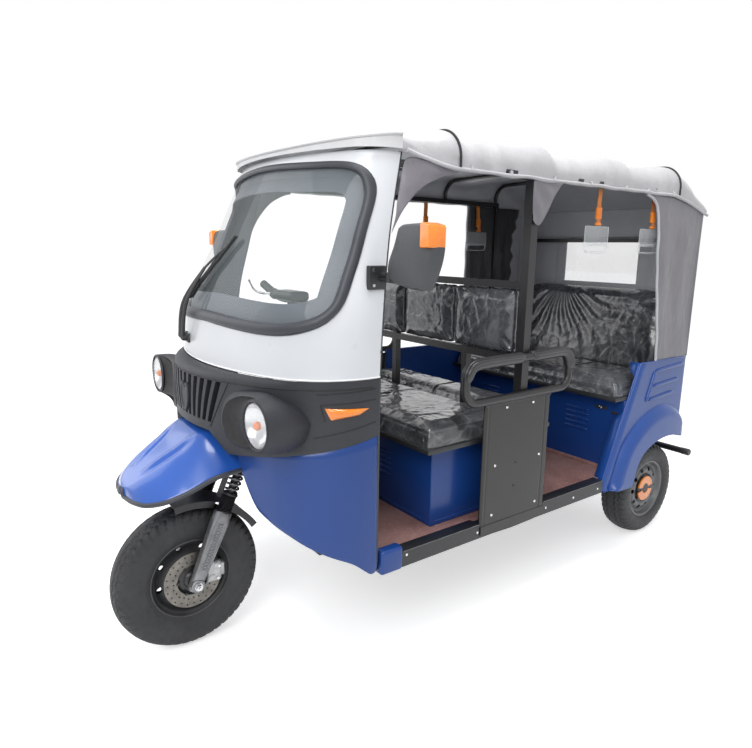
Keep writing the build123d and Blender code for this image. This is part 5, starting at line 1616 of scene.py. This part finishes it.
def makeCushions():
    voxel, cap = seatFacts["voxel"], seatFacts["cap"]
    for node, name, seams, seed in (("driver_cushion", "driverCushion", (0,), 1),
            ("facing_cushion", "facingCushion", (0,), 4), ("rear_cushion", "rearCushion", (-0.19, 0.19), 7)):
        low, high = corners(node)
        room = Vector((0.008, 0.006, 0))
        base, top = low + room, high - room - Vector((0, 0, 0.008))

        def held(spot, base=base):
            return spot.z < base.z + 0.012

        def dent(spot, way, base=base, top=top, seams=seams, seed=seed):
            amount = wrapCreases(spot, seed) if spot.z > base.z + 0.008 else 0
            for x in seams:
                amount -= 0.006 * bell(spot.x - x, 0.007) * (way.z > 0.2)
            rim = abs(spot.z - (top.z - 0.018))
            amount -= 0.004 * bell(rim, 0.0045) * (abs(way.z) < 0.8)
            return amount

        piece = softBlock(name, base, top, wrappedSeat, voxel, cap, held, dent, [node], 0.022)
        floor = low.z + 0.0005
        for vert in piece.data.vertices:
            vert.co.z = max(floor, vert.co.z)

    low, high = corners("rear_backrest")

    def lean(spot):
        # the back slopes and its upper corners are rounded
        t = max(0, (spot.z - 0.925) / 0.37)
        drop = 0.062 * max(0, (abs(spot.x) - 0.34) / 0.17) ** 2 * min(1, 2.2 * max(0, t - 0.3))
        return Vector((spot.x, spot.y + 0.058 * t, spot.z - drop))

    start = Vector((low.x + 0.008, at(0, 2.398, 0).y, 0.826))
    end = Vector((high.x - 0.008, at(0, 2.446, 0).y, 1.342))

    def heldBack(spot):
        return spot.y > lean(Vector((0, end.y - 0.012, spot.z))).y

    def dentBack(spot, way):
        # folds that fan out from the top, left of the middle
        dx, dz = spot.x + 0.16, 1.37 - spot.z
        turn = atan2(dx, dz)
        away = hypot(dx, dz)
        fan = sin(turn * 23 + 3.5 * rough(spot, 4, 2)) * 0.0042 * min(1, away / 0.1) * max(0, 1 - away / 0.8)
        front = max(0, -way.y)
        return (fan + wrapCreases(spot, 9, 0.0012)) * front

    softBlock("rearBackrest", start, end, wrappedBack, voxel, 0.02, heldBack, dentBack, ["rear_backrest"],
        0.022, lean)

    low, high = corners("backrest_pads")
    third = (high.x - low.x) / 3
    names = ("Right", "Middle", "Left")
    for i, label in enumerate(names):
        base = Vector((low.x + third * i + (0.006 if i else 0.004), low.y + 0.004, low.z + 0.004))
        top = Vector((low.x + third * (i + 1) - (0.006 if i < 2 else 0.004), high.y - 0.004, high.z - 0.004))
        heart = (base.y + top.y) / 2

        def heldPad(spot, heart=heart):
            return abs(spot.y - heart) < 0.004

        def dentPad(spot, way, i=i):
            return wrapCreases(spot, 11 + i, 0.0019)

        softBlock("backPad" + label, base, top, wrappedPad, 0.008, 0.01, heldPad, dentPad, ["backrest_pads"]
            if i == 0 else [], 0.014)


def makeArmPads():
    bm = bmesh.new()
    for side in (-1, 1):
        x = side * 0.6055
        for points in (((0.876, 1.055), (0.888, 1.092), (0.925, 1.113), (1.05, 1.117), (1.184, 1.118)),
                ((1.232, 1.118), (1.33, 1.121), (1.42, 1.122), (1.458, 1.11), (1.48, 1.078), (1.484, 1.045))):
            spots = smoothLoop([Vector((0, y, z)) for y, z in points], 30, False)
            for k in (-1, 0, 1):
                line = []
                for i, spot in enumerate(spots):
                    way = (spots[min(i + 1, 29)] - spots[max(i - 1, 0)]).normalized()
                    out = Vector((0, -way.z, way.y)) * (0.0125 - 0.0035 * abs(k))
                    line.append(at(x + k * 0.0115, spot.y + out.y, spot.z + out.z))
                tube(bm, line, [0.005, 0.0095] + [0.0118] * 26 + [0.0095, 0.005], 12)
            tube(bm, [at(x, spot.y, spot.z) for spot in spots], [0.014, 0.0195] + [0.022] * 26
                + [0.0195, 0.014], 16)
    settle("armPads", bm, padRubber, smooth=50)


makeCushions()
makeArmPads()
print("seats done")


# rear body, boxes, side panels and their fittings
axle = (2.4, tyreFacts["rear"]["radius"])  # station and height of the rear axle
bodyHalf = 0.589
# mudguard lines by angle from straight ahead, in degrees: reach of the lip, reach of the upper crease
guardRows = [(13, 0.372, 0.506), (25, 0.379, 0.512), (42, 0.398, 0.532), (60, 0.378, 0.532),
    (77, 0.355, 0.524), (87, 0.345, 0.508), (96, 0.338, 0.482), (106, 0.335, 0.43), (117, 0.333, 0.38)]


def panelReach(turn):
    # from the axle to the edge of the quarter panel
    ahead, up = -cos(turn), sin(turn)
    (y0, z0), (y1, z1) = (1.85 - axle[0], 0.382 - axle[1]), (2.1 - axle[0], 1 - axle[1])
    reaches = [(y0 * (z1 - z0) - z0 * (y1 - y0)) / (ahead * (z1 - z0) - up * (y1 - y0)), (1 - axle[1]) / up]
    if ahead > 0:
        reaches.append(0.148 / ahead)
    return min(r for r in reaches if r > 0)


def quarterSpot(turn, reach, crease, lip):
    y, z = axle[0] - reach * cos(turn), axle[1] + reach * sin(turn)
    share = unit((crease - reach) / max(0.02, (crease - lip) * 0.42))
    out = 0.037 * (1 - (1 - share) ** 2.2) + 0.006 * max(0, (crease - reach) / 0.16)
    rear = unit((2.548 - y) / 0.075)
    out *= 1 - (1 - rear) ** 2
    x = bodyHalf + out
    if y > 2.508:
        x -= 0.04 - sqrt(max(0, 0.0016 - (y - 2.508) ** 2))
    front = (y - 1.85 - 0.4045 * (z - 0.382)) * 0.927
    if front < 0.03:
        x -= 0.012 * (1 - max(0, front) / 0.03) ** 2
    return x, y, z


def makeQuarters():
    turns = []
    for a, b, count in ((13.5, 68.2, 60), (68.2, 101.2, 36), (101.2, 116.3, 18)):
        turns += [radians(angle) for angle in between(a, b, count)[:count + (b > 110)]]
    for label, side in (("Left", 1), ("Right", -1)):
        rows = [[] for _ in range(58)]
        for turn in turns:
            lip, crease = eased(guardRows, degrees(turn))
            whole = panelReach(turn)
            start = min(whole, max(lip, 0.128 / sin(turn)))
            crease = min(whole, max(crease, start + 0.001))
            reaches = between(start, crease, 26) + between(crease, whole, 28)[1:]
            for k, reach in enumerate(reaches):
                x, y, z = quarterSpot(turn, reach, crease, start)
                rows[k + 3].append(at(side * x, y, z))
            x, y, z = quarterSpot(turn, start, crease, start)
            fade = unit((2.548 - y) / 0.05)
            for k, (inward, grow) in enumerate(((0.024, 0.006), (0.012, 0), (0.003, -0.002))):
                reach = start + grow
                rows[k].append(at(side * (x - inward * fade), axle[0] - reach * cos(turn),
                    axle[1] + reach * sin(turn)))
        bm = bmesh.new()
        ribbon(bm, rows, closed=False)
        edge = [(1.85 + 0.4045 * (z - 0.382), z) for z in between(0.382, 1, 40)]
        flange = []
        for inward in (0, 0.006, 1):
            row = []
            for y, z in edge:
                width = 0.05 - 0.042 * unit((z - 0.73) / 0.03) * unit((0.96 - z) / 0.02)
                depth = width * inward if inward == 1 else inward
                row.append(at(side * (bodyHalf - 0.012 - depth), y - 0.002 * (inward > 0), z))
            flange.append(row)
        ribbon(bm, flange, closed=False)
        panel = settle("quarter" + label, closeUp(bm, 0), quarterBlueWithPaintedLight,
            stands=["rear_quarter_" + label.lower()], smooth=44)
        thicken(panel, 0.003)
        trim = bmesh.new()
        top = [at(side * x, y, 0.999) for x, y in ((bodyHalf - 0.013, 2.106), (bodyHalf - 0.004, 2.13),
            (bodyHalf - 0.002, 2.3), (bodyHalf - 0.002, 2.49), (bodyHalf - 0.012, 2.528),
            (bodyHalf - 0.04, 2.545))]
        tube(trim, smoothLoop(top, 40, False), 0.0055, 8)
        x = side * (bodyHalf + 0.0005)
        for line in (((2.225, 0.949), (2.5, 0.966)), ((2.215, 0.872), (2.46, 0.888)),
                ((2.185, 0.803), (2.42, 0.822)), ((2.222, 0.949), (2.162, 0.797))):
            first, last = (at(x, *spot) for spot in line)
            tube(trim, between(first, last, 20), [0.003, 0.0075] + [0.009] * 17 + [0.0075, 0.003], 12)
        settle("quarterRibs" + label, trim, quarterBlueWithPaintedLight, smooth=60)


def makeTail():
    bm = bmesh.new()
    half = bodyHalf - 0.04
    surface(bm, 60, 30, lambda u, v: at((2 * u - 1) * 0.398, 2.5475, 0.412 + 0.588 * v))
    for side in (-1, 1):
        surface(bm, 14, 30, lambda u, v, side=side: at(side * (0.398 + (half - 0.398) * u), 2.5475,
            0.548 + 0.452 * v))
    bmesh.ops.remove_doubles(bm, verts=bm.verts, dist=1e-5)
    for x in (-0.0725, 0.0725):
        pierce(bm, at(x, 2.5475, 0.64), (0, 1, 0), 0.0035)
    tail = settle("tailPanel", closeUp(bm, 0), quarterBlueWithPaintedLight, stands=["tail_panel"], smooth=40)
    thicken(tail, 0.003, 0)
    ribs = bmesh.new()
    for z in (0.46, 0.7, 0.96):
        tube(ribs, [at(x, 2.549, z) for x in (-0.38, -0.37, 0.37, 0.38)], [0.004, 0.008, 0.008, 0.004], 10)
    tube(ribs, [at(x, 2.547, 0.999) for x in between(-half, half, 20)], 0.0055, 8)
    for low, high in (((-0.11, 0.575), (0.11, 0.585)), ((-0.11, 0.69), (0.11, 0.7))):
        box(ribs, at(low[0], 2.5485, low[1]), at(high[0], 2.556, high[1]), 0.002)
    settle("tailRibs", ribs, quarterBlueWithPaintedLight, smooth=50)
    cases, reds, ambers, whites = empties(4)
    for side in (-1, 1):
        box(cases, at(side * 0.42, 2.5495, 0.69), at(side * 0.5, 2.562, 0.85), 0.006, 3)
        for bm, z0, z1 in ((ambers, 0.797, 0.844), (reds, 0.744, 0.792), (whites, 0.696, 0.739)):
            box(bm, at(side * 0.426, 2.56, z0), at(side * 0.494, 2.5735, z1), 0.006, 3)
    settle("tailLampCases", cases, blackPlastic, stands=["tail_lamps"])
    settle("tailLampReds", reds, redPlastic)
    settle("tailLampAmbers", ambers, orangePlastic)
    settle("tailLampWhites", whites, lampGlass)


def louvres(bm, x, station, z, length, pitch):
    # pressed slots: five half-round bars standing proud of the sheet
    for k in range(5):
        path = [at(x + length * t, station, z + pitch * k) for t in (0, 0.03, 0.08, 0.5, 0.92, 0.97, 1)]
        tube(bm, path, [0.001, 0.0045, 0.006, 0.006, 0.006, 0.0045, 0.001], 10)


def thinRib(bm, spots):
    tube(bm, spots, [0.001, 0.003, 0.003, 0.001], 8)


def makeBoxes():
    low, high = corners("middle_box")
    bm = bmesh.new()
    box(bm, low, high, 0.007, 3)
    bmesh.ops.delete(bm, geom=[f for f in bm.faces if f.normal.z < -0.5], context="FACES")
    middleBox = settle("middleBox", bm, bluePaint, stands=["middle_box"], smooth=40)
    thicken(middleBox, 0.003)
    seam = bmesh.new()
    for first in (0.1, -0.225):
        louvres(seam, first, 0.8225, 0.585, 0.125, 0.024)
    for z in (0.752, 0.462):
        thinRib(seam, [at(x, 0.8225, z) for x in (-0.46, -0.455, 0.455, 0.46)])
    for side in (-1, 1):
        thinRib(seam, [at(side * 0.4862, y, 0.462) for y in (0.85, 0.855, 1.37, 1.375)])
    for first in (0.237, -0.379):
        louvres(seam, first, 1.9995, 0.627, 0.142, 0.0262)
    thinRib(seam, [at(x, 1.9995, 0.8) for x in (-0.55, -0.545, 0.545, 0.55)])
    settle("boxPressings", seam, bluePaint, smooth=60)
    strips, lock = empties(2)
    for node in ("driver_cushion", "facing_cushion", "rear_cushion"):
        low, high = corners(node)
        box(strips, low - Vector((0.001, 0.001, 0)), (high.x + 0.001, high.y + 0.001, low.z + 0.02), 0.003)
    settle("cushionBases", strips, blackPlastic)
    box(lock, at(0.412, 1.994, 0.756), at(0.481, 2.001, 0.772), 0.0025, 2)
    knob(lock, at(0.447, 1.995, 0.764), (0, -1, 0), [(0, 0.0085), (0.005, 0.0085), (0.006, 0.007),
        (0.006, 0)], 20, 1)
    box(lock, at(0.508, 1.997, 0.742), at(0.545, 2.001, 0.756), 0.002, 2)
    settle("boxLock", lock, [blackPlastic, brightSteel])
    kick = bmesh.new()
    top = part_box("floor_mat")[1][2]
    box(kick, at(-0.565, 1.9935, top), at(0.565, 1.9995, top + 0.02), 0.002)
    settle("matTurnUp", kick, matRubber)


def makeSides():
    panels, trims, screws = empties(3)
    for side in (-1, 1):
        def place(u, v, side=side):
            z = 0.434 + (0.94 - 0.434) * v
            y = 1.003 + 0.393 * u
            edge = min(u, 1 - u) * 0.393
            roll = 0.006 * (1 - min(1, edge / 0.008)) ** 2
            crease = 0.0022 * bell(y - 1.362, 0.0035) + 0.0016 * bell(y - 1.022, 0.003)
            dent = 0.0016 * rough((y * 2, z * 2, side), 2.2, 4)
            return at(side * (0.5905 - roll - crease + dent), y, z)

        surface(panels, 150, 40, place)
        for y in (1.003, 1.396):
            box(panels, at(side * 0.578, y - 0.002, 0.434), at(side * 0.585, y + 0.002, 0.94), 0.001, 1)
        tube(trims, [at(side * 0.585, y, 0.94) for y in (1, 1.003, 1.396, 1.4)], [0.003, 0.007, 0.007, 0.003],
            10)
        skirt = [(1.004, 0.43), (1.004, 0.398), (1.05, 0.389), (1.19, 0.384), (1.33, 0.387), (1.396, 0.396)]
        for (y0, z0), (y1, z1) in zip(skirt[1:-1], skirt[2:]):
            rows = [[at(side * x, y, z) for x, z in ((0.5895, 0.436), (0.5935, 0.432), (0.5935, low),
                (0.588, low - 0.002))] for y, low in ((y0, z0), (y1, z1))]
            ribbon(panels, rows, closed=False)
        for y, z in ((1.123, 0.92), (1.283, 0.92), (1.344, 0.681), (1.071, 0.683), (1.336, 0.467),
                (1.066, 0.471)):
            knob(screws, at(side * 0.5905, y, z), (side, 0, 0), [(0, 0.0065), (0.002, 0.006), (0.0035, 0.003),
                (0.0038, 0)], 14)
        for y, z in ((1.194, 0.674), (1.191, 0.572)):
            knob(screws, at(side * 0.5903, y, z), (side, 0, 0), [(0, 0.0055), (0.0012, 0.005), (0.0012, 0)],
                14, 1)
        for y, z in ((0.62, 0.43), (0.99, 0.414), (1.42, 0.414), (1.62, 0.414), (1.81, 0.414)):
            knob(screws, at(side * 0.5888, y, z), (side, 0, 0), [(0, 0.006), (0.002, 0.0055), (0.003, 0.003),
                (0.0032, 0)], 12)
        # step plate over the sill with a rolled bright edge
        for y0, y1 in ((0.602, 1), (1.4, 1.848)):
            box(trims, at(side * 0.535, y0, 0.4425), at(side * 0.5895, y1, 0.4475))
            tube(screws, [at(side * 0.5893, y, 0.4462) for y in (y0, y0 + 0.004, y1 - 0.004, y1)],
                [0.001, 0.0016, 0.0016, 0.001], 8, slot=2)
    settle("sidePanels", closeUp(panels, 0), panelSteel, stands=["centre_panels"], smooth=40)
    settle("sideTrims", trims, sillSteel, smooth=50)
    settle("sideScrews", screws, [brightSteel, blackAndPaintedShade, springSteel], smooth=50)
    feet = bmesh.new()
    low, high = corners("sill_feet")
    for side in (-1, 1):
        box(feet, (side * 0.549, low.y, low.z), (side * high.x, high.y, high.z), 0.013, 5)
    settle("sillFeet", feet, bluePaint, stands=["sill_feet"], smooth=40)


def makeBumper():
    caps = bmesh.new()
    spot = Vector((0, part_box("rear_bumper")[1][1] - 0.0175, 0.437))
    for side in (-1, 1):
        knob(caps, spot + Vector((side * 0.555, 0, 0)), (side, 0, 0),
            [(0, 0.0175), (0, 0.0188), (0.04, 0.0192), (0.046, 0.017), (0.0465, 0)], 24)
    settle("bumperCaps", caps, blackPlastic, smooth=50)


makeQuarters()
makeTail()
makeBoxes()
makeSides()
makeBumper()
print("body done")


# floor, lights and camera
cameraFacts = {"spot": (2.1794, -0.7129, 1.5348), "turn": 53.434, "dip": 11.627, "roll": 0.893, "lens": 29.2}
lightFacts = {"sky": 0.62, "keySpot": (3.2, -3.4, 4.6), "keyPower": 190, "keySize": 3.2,
    "fillSpot": (-4.2, -2.6, 3.4), "fillPower": 70, "fillSize": 4, "topSpot": (0.6, 0.9, 5.4),
    "topPower": 190, "topSize": 2.6}


def whiteToCamera(owner, seen, unseen):
    # the first shader shows to the eye, in gloss and through glass, the second lights the rest
    rays = ("Camera", "Glossy", "Transmission")
    camera, gloss, glass = (owner.node("LightPath", out="Is " + ray + " Ray") for ray in rays)
    share = (camera + gloss + glass).sum("MINIMUM", 1)
    mix = owner.node("MixShader", {}, {0: share, 1: unseen, 2: seen})
    out = next(node for node in owner.tree.nodes if node.name.endswith("Output"))
    owner.tree.links.new(mix.socket, out.inputs[0])


def makeFloor():
    bm = bmesh.new()
    bmesh.ops.create_grid(bm, x_segments=1, y_segments=1, size=40)
    finish = Finish("pale floor", Base_Color=(0.86, 0.86, 0.86, 1), Roughness=0.9)
    finish.feed("Emission Color", (1, 1, 1, 1))
    finish.feed("Emission Strength", 0.52)
    dull = finish.node("BsdfDiffuse", {}, {"Color": (0.62, 0.62, 0.62, 1)})
    whiteToCamera(finish, Wire(finish, finish.shader.outputs[0]), dull)
    madeObject("floor", bm, [finish])


def makeWorld():
    world = bpy.data.worlds.new("sky")
    bpy.context.scene.world = world
    world.use_nodes = True
    owner = Nodes(world.node_tree)
    sky = owner.tree.nodes["Background"]
    sky.inputs["Color"].default_value = (0.96, 0.98, 1, 1)
    sky.inputs["Strength"].default_value = lightFacts["sky"]
    white = owner.node("Background", {}, {"Color": (1, 1, 1, 1), "Strength": 1})
    whiteToCamera(owner, white, Wire(owner, sky.outputs[0]))


def makeLamp(name, spot, power, size):
    lamp = bpy.data.lights.new(name, "AREA")
    lamp.energy, lamp.size = power, size
    holder = bpy.data.objects.new(name, lamp)
    bpy.context.collection.objects.link(holder)
    holder.location = at(*spot)
    holder.rotation_euler = (at(0, 1.2, 0.8) - holder.location).to_track_quat("-Z", "Y").to_euler()


def makeCamera():
    data = bpy.data.cameras.new("camera")
    data.lens, data.sensor_width, data.clip_start, data.clip_end = cameraFacts["lens"], 36, 0.05, 100
    camera = bpy.data.objects.new("camera", data)
    bpy.context.collection.objects.link(camera)
    turn = (Matrix.Rotation(radians(cameraFacts["turn"]), 4, "Z")
        @ Matrix.Rotation(radians(90 - cameraFacts["dip"]), 4, "X")
        @ Matrix.Rotation(radians(cameraFacts["roll"]), 4, "Z"))
    camera.matrix_world = Matrix.Translation(at(*cameraFacts["spot"])) @ turn
    bpy.context.scene.camera = camera


makeFloor()
makeWorld()
for name in ("key", "fill", "top"):
    makeLamp(name, *(lightFacts[name + fact] for fact in ("Spot", "Power", "Size")))
makeCamera()
bpy.context.scene.view_settings.view_transform = "Standard"
print("stage ready")
